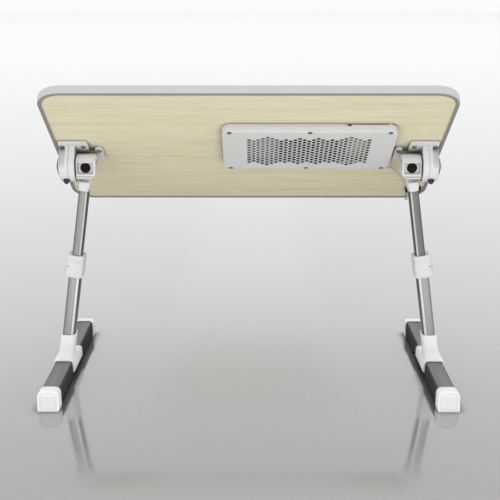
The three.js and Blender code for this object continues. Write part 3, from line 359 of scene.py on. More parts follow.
@dataclass(frozen=True)
class Frames:
    """Where the sub-assemblies stand, read from the construction model's joints."""

    tilt_axis: Vector
    tilt: float
    fold_axis: Vector
    splay: float

    @classmethod
    def read(cls) -> "Frames":
        """Reads the frames from the joints.

        Returns:
            The frames at rest.
        """
        joints = {joint["name"]: joint for joint in frame["joints"]}
        normal = Vector(joints["fan_spin"]["axis"])
        down = Vector(joints["height_right"]["axis"])
        pivot = Vector(joints["fold_right"]["pos_m"])
        return cls(
            tilt_axis=Vector((0.0, pivot.y, pivot.z)),
            tilt=atan2(normal.y, normal.z),
            fold_axis=pivot,
            splay=atan2(down.x, -down.z),
        )

    @property
    def top(self) -> Matrix:
        """Top frame to row frame, from millimetres."""
        turn = Matrix.Rotation(-self.tilt, 4, "X")
        return Matrix.Translation(self.tilt_axis) @ turn @ Matrix.Scale(MM, 4)

    @staticmethod
    def upright(at: Vector, side: Side) -> Matrix:
        """An upright frame about a place, from millimetres; the left one is mirrored."""
        return Matrix.Translation(at) @ Matrix.Diagonal((side.value, 1, 1, 1)) @ Matrix.Scale(MM, 4)

    def knuckle(self, side: Side) -> Matrix:
        """Knuckle frame to row frame."""
        pivot = self.fold_axis
        return self.upright(Vector((side.value * pivot.x, pivot.y, pivot.z)), side)

    def bracket(self, side: Side) -> Matrix:
        """Bracket frame to row frame."""
        return self.knuckle(side) @ Matrix.Rotation(-self.tilt, 4, "X")

    def leg(self, side: Side) -> Matrix:
        """Leg frame to row frame."""
        return self.knuckle(side) @ Matrix.Rotation(-self.splay, 4, "Y")

    def foot(self, side: Side) -> Matrix:
        """Foot frame to row frame."""
        low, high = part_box(f"front_cap_{side.label}")
        return self.upright(Vector(((low.x + high.x) / 2, 0.0, 0.0)), side)


# ---- outlines


def rounded_outline(
    width: float, height: float, radius: float, steps: int = 8, middle: Point = (0.0, 0.0)
) -> Outline:
    """Points of a rectangle with round corners, counter-clockwise.

    Args:
        width: Along the first axis.
        height: Along the second axis.
        radius: Of the corners.
        steps: Segments in each corner.
        middle: The rectangle's centre.

    Returns:
        The outline's points.
    """
    points = []
    for corner, (sx, sy) in enumerate(((1, 1), (-1, 1), (-1, -1), (1, -1))):
        cx, cy = sx * (width / 2 - radius), sy * (height / 2 - radius)
        for step in range(steps + 1):
            angle = (corner + step / steps) * pi / 2
            x, y = cx + radius * cos(angle), cy + radius * sin(angle)
            points.append((x + middle[0], y + middle[1]))
    return points


def arc(centre: Point, radius: float, start: float, end: float, steps: int) -> Outline:
    """Points along an arc between two angles in degrees, both ends included."""
    turns = (radians(start + (end - start) * i / steps) for i in range(steps + 1))
    return [(centre[0] + radius * cos(t), centre[1] + radius * sin(t)) for t in turns]


def curve_through(start: Point, pull: Point, end: Point, steps: int) -> Outline:
    """Points along a quadratic curve that bends toward pull, both ends included."""
    shares = [((1 - t) ** 2, 2 * t * (1 - t), t * t) for t in (i / steps for i in range(steps + 1))]
    return [tuple(u * a + v * b + w * c for a, b, c in zip(start, pull, end)) for u, v, w in shares]


def mirrored(right: Outline) -> Outline:
    """An outline's right half followed by its mirror image about the second axis."""
    return right + [(-x, z) for x, z in reversed(right)]


def level(outline: Iterable[Point], z: float, at: Point = (0.0, 0.0)) -> Ring:
    """An outline in (x, y) lifted to a height, about a place."""
    return [Vector((x + at[0], y + at[1], z)) for x, y in outline]


# ---- solids


def new_object(name: str, data: bpy.types.ID) -> Object:
    """Shows a mesh, curve, camera or light in the scene.

    Args:
        name: Its name.
        data: What it shows.

    Returns:
        The object.
    """
    made = bpy.data.objects.new(name, data)
    bpy.context.scene.collection.objects.link(made)
    return made


def skin(name: str, rings: Sequence[Ring], closed: bool = False) -> Object:
    """A skin through rings of equally many points.

    Args:
        name: Its name.
        rings: The rings in order.
        closed: True if the last ring joins the first, False for capped ends.

    Returns:
        The solid.
    """
    mesh = bpy.data.meshes.new(name)
    work = bmesh.new()
    rows = [[work.verts.new(point) for point in ring] for ring in rings]
    count = len(rows[0])
    pairs = list(zip(rows, rows[1:])) + ([(rows[-1], rows[0])] if closed else [])
    for low, high in pairs:
        for i in range(count):
            j = (i + 1) % count
            work.faces.new((low[i], low[j], high[j], high[i]))
    if not closed:
        work.faces.new(rows[0])
        work.faces.new(rows[-1])
    bmesh.ops.remove_doubles(work, verts=work.verts, dist=MERGE)
    bmesh.ops.recalc_face_normals(work, faces=work.faces)
    work.to_mesh(mesh)
    work.free()
    return new_object(name, mesh)


def stacked(
    name: str, levels: Iterable[tuple[float, ...]], steps: int, at: Point = (0.0, 0.0)
) -> Object:
    """A solid through rounded rectangles, each given by width, depth, corner radius and height."""
    rings = [level(rounded_outline(w, d, corner, steps), z, at) for w, d, corner, z in levels]
    return skin(name, rings)


def revolved(name: str, profile: Outline, segments: int = 48, closed: bool = False) -> Object:
    """A profile turned round z.

    Args:
        name: Its name.
        profile: Radius and height of each point.
        segments: Faces round the axis.
        closed: True if the profile runs back to its start.

    Returns:
        The turned piece.
    """
    turns = [2 * pi * i / segments for i in range(segments)]
    rings = [
        [Vector((radius * cos(turn), radius * sin(turn), height)) for turn in turns]
        for radius, height in profile
    ]
    return skin(name, rings, closed)


AXES: dict[str, Callable[[float, float, float], Vector]] = {
    "x": lambda a, b, t: Vector((t, a, b)),
    "y": lambda a, b, t: Vector((a, t, b)),
    "z": lambda a, b, t: Vector((a, b, t)),
}


def pushed(axis: str, outline: Outline, start: float, length: float) -> Object:
    """A solid pushed along x, y or z from start; its outline is in (y, z), (x, z) or (x, y)."""
    ends = (start, start + length)
    return skin("pushed", [[AXES[axis](a, b, t) for a, b in outline] for t in ends])


def rod(
    axis: str, radius: float, start: float, length: float, at: Point = (0.0, 0.0), sides: int = 40
) -> Object:
    """A cylinder along x, y or z from start, about the line through `at`."""
    return pushed(axis, arc(at, radius, 0, 360 * (sides - 1) / sides, sides - 1), start, length)


def hollow(name: str, axis: str, outer: Outline, inner: Outline, span: Point) -> Object:
    """A hollow section over a span of an axis; both outlines have equally many points."""
    stations = ((outer, span[0]), (outer, span[1]), (inner, span[1]), (inner, span[0]))
    return skin(name, [[AXES[axis](a, b, t) for a, b in line] for line, t in stations], True)


# ---- work on solids


def mark_across(obj: Object, value: Callable[[Vector], float]) -> Object:
    """Stores where each point lies across its section, for a finish that follows it.

    Args:
        obj: The piece.
        value: Gives the value for a point.

    Returns:
        The same piece.
    """
    across = obj.data.attributes.new("across", "FLOAT", "POINT")
    for item, vertex in zip(across.data, obj.data.vertices):
        item.value = value(vertex.co)
    return obj


def settle(obj: Object) -> Object:
    """Applies an object's modifiers.

    Args:
        obj: The object.

    Returns:
        The same object.
    """
    bpy.context.view_layer.update()
    evaluated = obj.evaluated_get(bpy.context.evaluated_depsgraph_get())
    mesh = bpy.data.meshes.new_from_object(evaluated)
    obj.modifiers.clear()
    obj.data = mesh
    return obj


def rounded_edges(obj: Object, width: float, angle: float = 32.0, segments: int = 2) -> Object:
    """Rounds the sharp edges and shades the rest smooth.

    Args:
        obj: The piece.
        width: The bevel's width in the mesh's own unit.
        angle: Least angle of a rounded edge in degrees.
        segments: Faces across each rounding.

    Returns:
        The same object.
    """
    bevel = obj.modifiers.new("edges", "BEVEL")
    bevel.width = width
    bevel.segments = segments
    bevel.limit_method = "ANGLE"
    bevel.angle_limit = radians(angle)
    bevel.use_clamp_overlap = True
    bevel.miter_outer = "MITER_ARC"
    settle(obj)
    return smooth(obj, angle)


def smooth(obj: Object, angle: float = 32.0) -> Object:
    """Shades a mesh smooth and keeps its sharp edges crisp.

    Args:
        obj: The piece.
        angle: Least angle of a crisp edge in degrees.

    Returns:
        The same piece.
    """
    obj.data.shade_smooth()
    obj.data.set_sharp_from_angle(angle=radians(angle))
    return obj


def carve(obj: Object, tools: Iterable[Object], operation: str = "DIFFERENCE") -> Object:
    """Works a piece with other solids, which are then removed.

    Args:
        obj: The piece.
        tools: The solids.
        operation: "DIFFERENCE", "UNION" or "INTERSECT".

    Returns:
        The same piece.
    """
    for tool in tools:
        step = obj.modifiers.new("carve", "BOOLEAN")
        step.operation = operation
        step.solver = "MANIFOLD"
        step.object = tool
        settle(obj)
        bpy.data.objects.remove(tool)
    return obj


def named(obj: Object, name: str) -> Object:
    """Names a piece and its mesh."""
    obj.name = obj.data.name = name
    return obj


def shift(x: float, y: float, z: float = 0.0) -> Matrix:
    """A move within a sub-assembly's frame."""
    return Matrix.Translation((x, y, z))


def place(obj: Object, where: Matrix) -> Object:
    """Moves a mesh within its frame or on to the row frame.

    Args:
        obj: The piece.
        where: The move; a mirroring one turns the faces back outwards.

    Returns:
        The same piece.
    """
    obj.data.transform(where)
    if where.determinant() < 0:
        obj.data.flip_normals()
    return obj


def clean_copy(node: str, name: str) -> Object:
    """Copies a construction piece and makes its flat faces whole again.

    Args:
        node: The construction piece.
        name: The copy's name.

    Returns:
        The copy, in the row frame.
    """
    same_point, same_plane = 2e-6, radians(0.6)
    mesh = bpy.data.meshes.new(name)
    work = bmesh.new()
    work.from_mesh(frame["nodes"][node].data)
    bmesh.ops.remove_doubles(work, verts=work.verts, dist=same_point)
    flat = {"angle_limit": same_plane, "use_dissolve_boundaries": False}
    bmesh.ops.dissolve_limit(work, verts=work.verts, edges=work.edges, **flat)
    work.to_mesh(mesh)
    work.free()
    return new_object(name, mesh)


# ---- finished pieces


def dress(obj: Object, finish: Finish) -> None:
    """Gives a piece its finish.

    Args:
        obj: The piece.
        finish: Its finish.
    """
    obj.data.materials.clear()
    obj.data.materials.append(finish.build())


def fit(obj: Object, body: str, finish: Finish, *nodes: str) -> Object:
    """Finishes a piece and joins it to the construction model.

    Args:
        obj: The piece.
        body: The body that it rides on.
        finish: Its finish.
        *nodes: The construction pieces that it stands for.

    Returns:
        The same piece.
    """
    dress(obj, finish)
    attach(obj, body)
    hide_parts(*nodes)
    LOG.info("%s rides on %s", obj.name, body)
    return obj


def dress_node(node: str, finish: Finish) -> None:
    """Gives a construction piece that stays in view its finish."""
    dress(frame["nodes"][node], finish)
    LOG.info("%s keeps its own shape", node)


def soften_node(node: str, name: str, edge: float, finish: Finish) -> Object:
    """Stands a copy with edges softened by some millimetres in for a piece of the top."""
    return fit(rounded_edges(clean_copy(node, name), edge * MM), "top", finish, node)


# ---- the finishes used

# Real moulded grain is some 0.05 mm and real die lines are 0.1 mm, too fine to show, so each
# grain and line below is drawn as coarse as it needs to be to break up a highlight.

FRAMES = Frames.read()
# Beech-grain foil under a satin varnish: warm pale streaks, with painted shade where other parts
# stand near.
BEECH_FOIL = WoodFoil(
    "beech_grain_foil",
    "veneer",
    "#e4dbbb",
    streak_light="#eae3c9",
    streak_dark="#d8cfab",
    roughness=0.42,
    grain_mm=0.4,
    tilt=FRAMES.tilt,
    crease=0.8,
    crease_mm=20.0,
    crease_open=0.8,
)
# Edge band: a pale satin crown and darker lips that press on the board.
GREY_EDGE_BAND = SectionTone(
    "moulded_grey_edge_band",
    "grey_trim",
    roughness=0.38,
    mottle=0.02,
    stops=((-1.0, "#c4c4c4"), (0.1, "#bcbcbc"), (0.55, "#949493"), (1.0, "#888886")),
)
# Injection-moulded and satin, with painted shade darkening its parting lines and corners.
WHITE_ABS = Finish(
    "satin_white_abs",
    "white_plastic",
    "#dfdfdf",
    roughness=0.4,
    grain_mm=0.35,
    mottle=0.01,
    crease=0.72,
    crease_mm=9.0,
)
# The feet are a lighter white than the hinges; painted shade darkens their creases and corners.
FOOT_ABS = Finish(
    "satin_white_abs_foot",
    "white_plastic",
    "#f1f1f1",
    roughness=0.38,
    grain_mm=0.35,
    mottle=0.01,
    crease=0.75,
    crease_mm=4.5,
)
# A spark-eroded mould leaves an even texture, so the grey has a broad, dull highlight.
# Painted shade darkens its creases and corners.
GREY_ABS = Finish(
    "spark_textured_grey_abs",
    "grey_plastic",
    "#d8d8d8",
    roughness=0.5,
    grain_mm=0.4,
    bump=0.08,
    mottle=0.015,
    crease=0.7,
    crease_mm=4.0,
)
# Cover and tray are moulded in one grey; their inside is painted dark as painted shade, since
# little light reaches it, so it reads dark through the holes.
TRAY_ABS = SectionTone(
    "moulded_grey_abs_tray",
    "grey_plastic",
    roughness=0.5,
    bump=0.05,
    mottle=0.015,
    stops=((-1.0, "#d8d8d8"), (1.0, "#55565a")),
)
# Extruded soft sheath: an even grey with a waxy sheen.
GREY_PVC = Finish("grey_pvc_sheath", "lead_sheath", "#c2c2c3", roughness=0.45, grain_mm=0.4)
# Polished moulds: a deep black with a low, tight highlight.
BLACK_ABS = Finish(
    "satin_black_abs", "black_plastic", "#0b0b0c", roughness=0.3, ior=1.22, grain_mm=0.4
)
# The tilt ring's own moulding: a dark grey that stays flat beside the white.
CHARCOAL_ABS = Finish(
    "charcoal_abs", "dark_plastic", "#3a3b3d", roughness=0.45, grain_mm=0.4, bump=0.06
)
# Pressed rubber: dull, with hardly a highlight.
BLACK_RUBBER = Finish(
    "moulded_black_rubber", "rubber", "#343634", roughness=0.8, grain_mm=0.6, bump=0.15
)
# Bright-plated steel: a cool metal that mirrors its surroundings softly.
ZINC_STEEL = Finish(
    "zinc_plated_steel", "steel", "#808184", roughness=0.3, metallic=1.0, bump=0.05
)
# Dark anodised bar with painted light: the flat top painted lighter as a highlight, the shoulders
# and flanks painted darker as shade.
DARK_ANODISED = SectionTone(
    "dark_anodised_bar",
    "dark_anodised",
    roughness=0.32,
    metallic=1.0,
    mottle=0.04,
    metal_lines=True,
    turn=(pi / 2, 0.0, 0.0),
    edge_tint=0.25,
    stops=(
        (-1.0, "#7c7c7c"),
        (-0.4, "#8a8a8a"),
        (0.4, "#888888"), (0.8, "#878787"), (1.0, "#a4a4a4"),
    ),
)
# Extruded and anodised tube with painted light across its section: a painted dark reflection
# on the inner flank, a painted highlight on the inner corner, then the broad face from there to
# the outer side. Each side's tubes have their own painted tones of light and shade, and the
# slimmer upper tubes are painted darker as the top's shade.
TUBE_PAINTED_FLANK_SHADE = ("#6e6e6e", "#5e5e5e")
TUBE_PAINTED_LIGHT_TONES = {
    ("upper", Side.LEFT): ("#cacaca", "#9a9a9a", "#9f9f9e", "#8f8f8f", "#767676"),
    ("upper", Side.RIGHT): ("#cacaca", "#808080", "#7c7c7c", "#747474", "#727272"),
    ("lower", Side.LEFT): ("#f4f4f4", "#ababab", "#b2b2b1", "#a0a0a0", "#858585"),
    ("lower", Side.RIGHT): ("#f4f4f4", "#ababab", "#b2b2b1", "#a8a8a8", "#959595"),
}
TUBE_STOPS = (-1.0, -0.82, -0.72, -0.2, -0.13, 0.02, 0.15, 1.0)
SATIN_ALUMINIUM = {
    (part, side): SectionTone(
        f"satin_aluminium_{part}_tube_{side.label}",
        "aluminium",
        roughness=0.3,
        metallic=1.0,
        mottle=0.05,
        metal_lines=True,
        turn=(0.0, -side.value * FRAMES.splay, 0.0),
        stops=tuple(zip(TUBE_STOPS, (*TUBE_PAINTED_FLANK_SHADE, tones[0], *tones))),
    )
    for (part, side), tones in TUBE_PAINTED_LIGHT_TONES.items()
}


# ---- recipes


class Recipe:
    """A geometry-node tree with named sizes, applied to one object and then removed."""

    def __init__(self, name: str, sizes: dict[str, float | int | Object | Material]) -> None:
        """Starts a tree.

        Args:
            name: The tree's name.
            sizes: Input name to the value that it gets.
        """
        self.tree = bpy.data.node_groups.new(name, "GeometryNodeTree")
        self.sizes = sizes
        face = self.tree.interface
        face.new_socket("Geometry", in_out="INPUT", socket_type="NodeSocketGeometry")
        kinds = {int: "NodeSocketInt", float: "NodeSocketFloat", Object: "NodeSocketObject"}
        for label, value in sizes.items():
            kind = kinds.get(type(value), "NodeSocketMaterial")
            face.new_socket(label, in_out="INPUT", socket_type=kind)
        face.new_socket("Geometry", in_out="OUTPUT", socket_type="NodeSocketGeometry")
        self.start = self.tree.nodes.new("NodeGroupInput")

    def add(self, kind: str, inputs: dict, out: str | int = 0, **settings: object) -> Socket | None:
        """Adds a node to the tree."""
        return add(self.tree, kind, inputs, out, **settings)

    def size(self, label: str) -> Socket:
        """The output that carries a named size."""
        return self.start.outputs[label]

    def copies(self, marks: Socket, label: str, turn: Spot | Socket = (0.0, 0.0, 0.0)) -> Socket:
        """Sets copies of an object on points.

        Args:
            marks: The points.
            label: The input that names the object.
            turn: How each copy is turned.

        Returns:
            The copies.
        """
        source = self.add("GeometryNodeObjectInfo", {"Object": self.size(label)}, "Geometry")
        what = {"Points": marks, "Instance": source, "Rotation": turn}
        return self.add("GeometryNodeInstanceOnPoints", what)

    def finish(self, geometry: Socket) -> None:
        """Ends the tree in Realize Instances and Set Material.

        Args:
            geometry: What it made.
        """
        whole = self.add("GeometryNodeRealizeInstances", {0: geometry})
        look = {"Geometry": whole, "Material": self.size("Material")}
        self.add("NodeGroupOutput", {0: self.add("GeometryNodeSetMaterial", look)})

    def apply(self, obj: Object) -> Object:
        """Runs the tree on an object.

        Args:
            obj: The object.

        Returns:
            The same object.
        """
        step = obj.modifiers.new(self.tree.name, "NODES")
        step.node_group = self.tree
        for item in self.tree.interface.items_tree:
            if item.item_type == "SOCKET" and item.in_out == "INPUT" and item.name in self.sizes:
                step[item.identifier] = self.sizes[item.name]
        return settle(obj)


def points_object(name: str, points: Iterable[Sequence[float]]) -> Object:
    """An object of loose points, on which a recipe sets copies.

    Args:
        name: Its name.
        points: The points.

    Returns:
        The object.
    """
    mesh = bpy.data.meshes.new(name)
    mesh.from_pydata([tuple(point) for point in points], [], [])
    return new_object(name, mesh)


def perforation(
    holes: Object, radius: float, depth: float, sides: int, material: Material
) -> Recipe:
    """A recipe that drills one round hole at every point of another object.

    Args:
        holes: The points.
        radius: Each hole's radius.
        depth: Its depth, half on either side of its point.
        sides: Faces round it.
        material: The drilled piece's material.

    Returns:
        The recipe.
    """
    sizes = {"Holes": holes, "Hole radius": radius, "Hole depth": depth, "Hole sides": sides}
    recipe = Recipe("perforation", sizes | {"Material": material})
    source = recipe.add("GeometryNodeObjectInfo", {"Object": recipe.size("Holes")}, "Geometry")
    marks = recipe.add("GeometryNodeMeshToPoints", {"Mesh": source})
    bit = {"Vertices": recipe.size("Hole sides"), "Radius": recipe.size("Hole radius")}
    bit |= {"Depth": recipe.size("Hole depth")}
    drill = recipe.add("GeometryNodeMeshCylinder", bit)
    drills = recipe.add("GeometryNodeInstanceOnPoints", {"Points": marks, "Instance": drill})
    both = {"Mesh 1": recipe.size("Geometry")}
    both |= {"Mesh 2": recipe.add("GeometryNodeRealizeInstances", {0: drills})}
    how = {"operation": "DIFFERENCE", "solver": "MANIFOLD"}
    recipe.finish(recipe.add("GeometryNodeMeshBoolean", both, **how))
    return recipe


def screw_pattern(head: Object, seed: int, material: Material) -> Recipe:
    """A recipe that sets a screw at every point, each turned by chance.

    Args:
        head: The screw.
        seed: Seed of the turns.
        material: The screws' material.

    Returns:
        The recipe.
    """
    recipe = Recipe("screw_pattern", {"Screw": head, "Seed": seed, "Material": material})
    marks = recipe.add("GeometryNodeMeshToPoints", {"Mesh": recipe.size("Geometry")})
    chance = {"Min": (0, 0, 0), "Max": (0, 0, 2 * pi), "Seed": recipe.size("Seed")}
    turn = recipe.add("FunctionNodeRandomValue", chance, "Value", data_type="FLOAT_VECTOR")
    recipe.finish(recipe.copies(marks, "Screw", turn))
    return recipe


def rib_row(rib: Object, count: int, pitch: float, material: Material) -> Recipe:
    """A recipe that joins a row of equal ribs to a piece, about its middle along x.

    Args:
        rib: One rib, in the middle.
        count: How many there are.
        pitch: From one to the next.
        material: The ribs' material.

    Returns:
        The recipe.
    """
    sizes = {"Rib": rib, "Count": count, "Pitch": pitch, "Material": material}
    recipe = Recipe("rib_row", sizes)
    pitches = {0: recipe.size("Count"), 1: 1.0}
    pitches = recipe.add("ShaderNodeMath", pitches, operation="SUBTRACT")
    span = {0: pitches, 1: recipe.size("Pitch")}
    span = recipe.add("ShaderNodeMath", span, operation="MULTIPLY")
    first = recipe.add("ShaderNodeMath", {0: span, 1: -0.5}, operation="MULTIPLY")
    row = {"Count": recipe.size("Count")}
    row |= {"Start Location": recipe.add("ShaderNodeCombineXYZ", {"X": first})}
    row |= {"Offset": recipe.add("ShaderNodeCombineXYZ", {"X": recipe.size("Pitch")})}
    marks = recipe.add("GeometryNodeMeshLine", row)
    joined = recipe.add("GeometryNodeJoinGeometry", {0: recipe.size("Geometry")})
    recipe.tree.links.new(recipe.copies(marks, "Rib"), joined.node.inputs[0])
    recipe.finish(joined)
    return recipe


# ---- the top


@dataclass
class TableTop:
    """Board, edge band and stop ledge."""

    width: float = 520.0
    depth: float = 300.0
    middle_y: float = -3.0
    underside: float = 20.5
    thickness: float = 12.0
    corner: float = 32.0
    corner_steps: int = 20
    web: float = 2.0
    lip: float = 5.0
    lip_thickness: float = 0.8
    lip_break: float = 0.3
    edge_round: float = 1.8
    round_steps: int = 6
    crown_shoulder: float = 1.0
    ledge_round: float = 0.6

    def band_profile(self) -> Outline:
        """The edge band's C section.

        Returns:
            Inset from the outside and height of each point.
        """
        low, high, r = self.underside, self.underside + self.thickness, self.edge_round
        outer = []
        for step in range(self.round_steps + 1):
            angle = pi / 2 * step / self.round_steps
            outer.append((r - r * sin(angle), low + r - r * cos(angle)))
        shoulder = r + self.crown_shoulder
        crown = [(0.0, low + shoulder), (0.0, (low + high) / 2), (0.0, high - shoulder)]
        upper = [(inset, low + high - z) for inset, z in reversed(outer)]
        lip = [
            (self.lip - self.lip_break, high),
            (self.lip, high - self.lip_break),
            (self.lip, high - self.lip_thickness),
            (self.web, high - self.lip_thickness),
        ]
        return outer + crown + upper + lip + [(inset, low + high - z) for inset, z in reversed(lip)]

    def band(self) -> Object:
        """The edge band, swept round the board.

        Returns:
            The band in the row frame.
        """
        profile = self.band_profile()
        wide, deep, middle = self.width, self.depth, (0.0, self.middle_y)
        sizes = [(wide - 2 * i, deep - 2 * i, self.corner - i) for i, _ in profile]
        outlines = [rounded_outline(*size, self.corner_steps, middle) for size in sizes]
        rings = [
            [Vector((*around[i], z)) for around, (_, z) in zip(outlines, profile)]
            for i in range(len(outlines[0]))
        ]
        reach, soft = self.thickness / 2, self.edge_round

        def face(point: Vector) -> float:
            """-1 over the crown, rising to 1 on the lips."""
            past = abs(point.z - self.underside - reach) - reach + soft
            return max(-1.0, min(1.0, past / soft * 2 - 1))

        band = mark_across(skin("edge_band", rings, closed=True), face)
        return smooth(place(band, FRAMES.top), 40)

    def build(self) -> None:
        """Makes and dresses the pieces of the top."""
        dress_node("tabletop_panel", BEECH_FOIL)
        fit(self.band(), "top", GREY_EDGE_BAND, "edge_trim")
        soften_node("stop_ledge", "laptop_stop", self.ledge_round, GREY_ABS)


@dataclass
class FanUnit:
    """Tray, perforated cover and fan under the board."""

    x: float = 78.5
    y: float = -24.4
    width: float = 225.5
    depth: float = 107.0
    face: float = 9.5
    skirt: float = 8.6
    corner: float = 10.0
    corner_steps: int = 10
    corner_share: float = 0.8  # how much of an inset the cover's corners lose
    wall: float = 1.6
    face_wall: float = 1.1
    soft_edge: float = 3.4
    # The soft edge from the face outwards: share of its width, height over the face.
    soft_rows: Rows = ((1.0, 0.0), (0.62, 0.12), (0.32, 0.45), (0.1, 1.0), (0.0, 1.9))
    rim_break: float = 0.3
    inner_fillet: Point = (1.6, 1.2)
    free_lip: float = 1.9
    lip_root: float = 0.8
    lip_set_back: float = 0.1
    board_side: float = 21.3
    tray_width: float = 165.0
    tray_wall: float = 2.0
    tray_floor: float = 1.6
    tray_break: float = 0.4
    tray_opening: float = 38.0
    gap: float = 0.3
    post: float = 3.6
    hole_columns: int = 27
    hole_pitch: float = 6.92
    hole_radius: float = 2.9
    hole_sides: int = 20
    field_half: float = 4.6  # rows from the middle to the field's edge
    # Crests of the field's edge: columns from the middle, breadth and height.
    crests: tuple[Spot, ...] = ((9, 1.5, 1.0), (2, 0.7, 0.5))
    screw_pitch: float = 103.0
    screw_row: float = 49.5
    screw_head: float = 3.0
    screw_head_height: float = 1.9
    sink_clear: float = 0.3
    sink_flare: float = 0.25
    sink_mouth: Point = (0.02, 0.3)  # heights over the face between which it narrows

    def screw_places(self) -> list[Point]:
        """Centres of the six cover screws in (x, y), column by column."""
        spots = ((column, row) for column in (-1, 0, 1) for row in (-1, 1))
        return [(self.x + c * self.screw_pitch, self.y + r * self.screw_row) for c, r in spots]

    def hole_places(self) -> list[Spot]:
        """Centres of the staggered holes, in a field with four crests.

        Returns:
            The centres on the cover's face.
        """
        middle = (self.hole_columns - 1) / 2
        step = self.hole_pitch * sqrt(3) / 2
        places = []
        for number in range(self.hole_columns):
            column = number - middle
            limit = self.field_half
            for away, breadth, height in self.crests:
                limit += height * exp(-(((abs(column) - away) / breadth) ** 2))
            row = 0.0 if column % 2 == 0 else 0.5
            while row <= limit:
                for sign in (1,) if row == 0 else (-1, 1):
                    y = self.y + sign * row * self.hole_pitch
                    places.append((self.x + column * step, y, self.face))
                row += 1
        return places

    def tray_end(self) -> float:
        """Where the tray ends along x."""
        return self.x - self.width / 2 + self.tray_width

    def mark_inside(
        self, shell: Object, width: float, middle: float, wall: float, heights: Point
    ) -> None:
        """Marks a shell's inner faces with 1 and its outer ones with -1.

        Args:
            shell: The cover or the tray.
            width: Its width.
            middle: Its middle along x.
            wall: Its side wall.
            heights: Between which z its inner faces lie.
        """
        slack, corner = 0.2, self.corner

        def inside(point: Vector) -> float:
            """1 if the point lies deeper than the wall within the rounded outline, or -1."""
            past_x = abs(point.x - middle) - width / 2 + corner
            past_y = abs(point.y - self.y) - self.depth / 2 + corner
            inward = corner - min(max(past_x, past_y), 0.0)
            reach = inward - hypot(max(past_x, 0.0), max(past_y, 0.0))
            return 1.0 if reach > wall - slack and heights[0] < point.z < heights[1] else -1.0

        # The mark gives the inner faces their painted shade.
        mark_across(shell, inside)

    def cover_shell(self, inside_face: float, rim: float) -> Object:
        """The cover's skin: soft outer edge, rim and walls.

        Args:
            inside_face: Height of the inner face.
            rim: Height of the rim.

        Returns:
            The shell, not drilled yet.
        """
        soft, run, rise = self.rim_break, *self.inner_fillet
        rows = [(share * self.soft_edge, self.face + up) for share, up in self.soft_rows]
        rows += [(0.0, rim - soft), (soft, rim), (self.wall - soft, rim), (self.wall, rim - soft)]
        rows += [(self.wall, inside_face + rise), (self.wall + run, inside_face)]
        wide, deep, share = self.width, self.depth, self.corner_share
        levels = [
            (wide - 2 * inset, deep - 2 * inset, self.corner - inset * share, z)
            for inset, z in rows
        ]
        return stacked("fan_cover_shell", levels, self.corner_steps, (self.x, self.y))

    def lip(self, rim: float) -> Object:
        """The cover's lip toward the board, beside the tray.

        Args:
            rim: Height of the cover's rim.

        Returns:
            A solid that starts below the rim.
        """
        middle, cut = (self.x, self.y), self.tray_end() + 2 * self.gap
        back, wall = 2 * self.lip_set_back, 2 * self.wall
        outer = rounded_outline(self.width - back, self.depth - back, self.corner, middle=middle)
        inner = rounded_outline(
            self.width - wall, self.depth - wall, self.corner - self.wall, middle=middle
        )
        lip = hollow("lip", "z", outer, inner, (rim - self.lip_root, rim + self.free_lip))
        over_tray = (cut - self.width, self.y)
        beside = rounded_outline(2 * self.width, 2 * self.depth, 1.0, middle=over_tray)
        low = rim - 2 * self.lip_root
        return carve(lip, [pushed("z", beside, low, self.board_side - low)])

    def sinks(self) -> list[Object]:
        """The sunk seats of the cover screws.

        Returns:
            Solids to cut away.
        """
        bore, flare = self.screw_head + self.sink_clear, self.sink_flare
        seat = self.face + self.screw_head_height + self.sink_clear
        mouth, throat = (self.face + rise for rise in self.sink_mouth)
        wide = bore + flare
        profile = [(wide, self.face - 1), (wide, mouth), (bore, throat), (bore, seat)]
        return [place(revolved("sink", profile, 32), shift(*at)) for at in self.screw_places()]

    def cover(self) -> Object:
        """The moulded cover, drilled by a recipe.

        Returns:
            The cover in the row frame.
        """
        inside_face, rim = self.face + self.face_wall, self.face + self.skirt
        shell = self.cover_shell(inside_face, rim)
        posts = []
        for at in self.screw_places():
            end = rim if at[0] < self.tray_end() else self.board_side
            posts.append(rod("z", self.post, inside_face - BITE, end - inside_face + BITE, at, 24))
        carve(shell, [*posts, self.lip(rim)], "UNION")
        carve(shell, self.sinks())
        holes = points_object("hole_points", self.hole_places())
        depth = 2 * self.face_wall + 2
        drills = perforation(holes, self.hole_radius, depth, self.hole_sides, TRAY_ABS.build())
        drills.apply(shell)
        bpy.data.objects.remove(holes)
        behind_face = (inside_face - 0.05, inf)
        self.mark_inside(shell, self.width, self.x, self.wall, behind_face)
        return smooth(place(shell, FRAMES.top), 25)

    def tray(self) -> Object:
        """The shallow tray under the board, with a boss at each screw that passes it.

        Returns:
            The tray in the row frame.
        """
        middle = (self.tray_end() - self.tray_width / 2, self.y)
        low, high, wall = self.face + self.skirt + self.gap, self.board_side, self.tray_wall
        floor, soft = high - self.tray_floor, self.tray_break
        rows = [(soft, high), (0.0, high - soft), (0.0, low + soft), (soft, low)]
        rows += [(wall, low), (wall, floor)]
        levels = [
            (self.tray_width - 2 * inset, self.depth - 2 * inset, self.corner - inset, z)
            for inset, z in rows
        ]
        shell = stacked("fan_tray_shell", levels, self.corner_steps, middle)
        below_top = (-inf, high - 0.2)
        self.mark_inside(shell, self.tray_width, middle[0], wall, below_top)
        places = [at for at in self.screw_places() if at[0] < self.tray_end()]
        bosses = [rod("z", self.post, low, high - low - 0.1, at, 24) for at in places]
        carve(shell, bosses, "UNION")
        carve(shell, [rod("z", self.tray_opening, floor - 1, 4, (self.x, self.y), 72)])
        return smooth(place(shell, FRAMES.top), 25)

    def build(self) -> None:
        """Makes and dresses the fan unit."""
        fit(self.cover(), "top", TRAY_ABS, "fan_cover")
        fit(self.tray(), "top", TRAY_ABS, "fan_tray")
        dress_node("fan_frame", BLACK_ABS)
        dress_node("fan_rotor", BLACK_ABS)


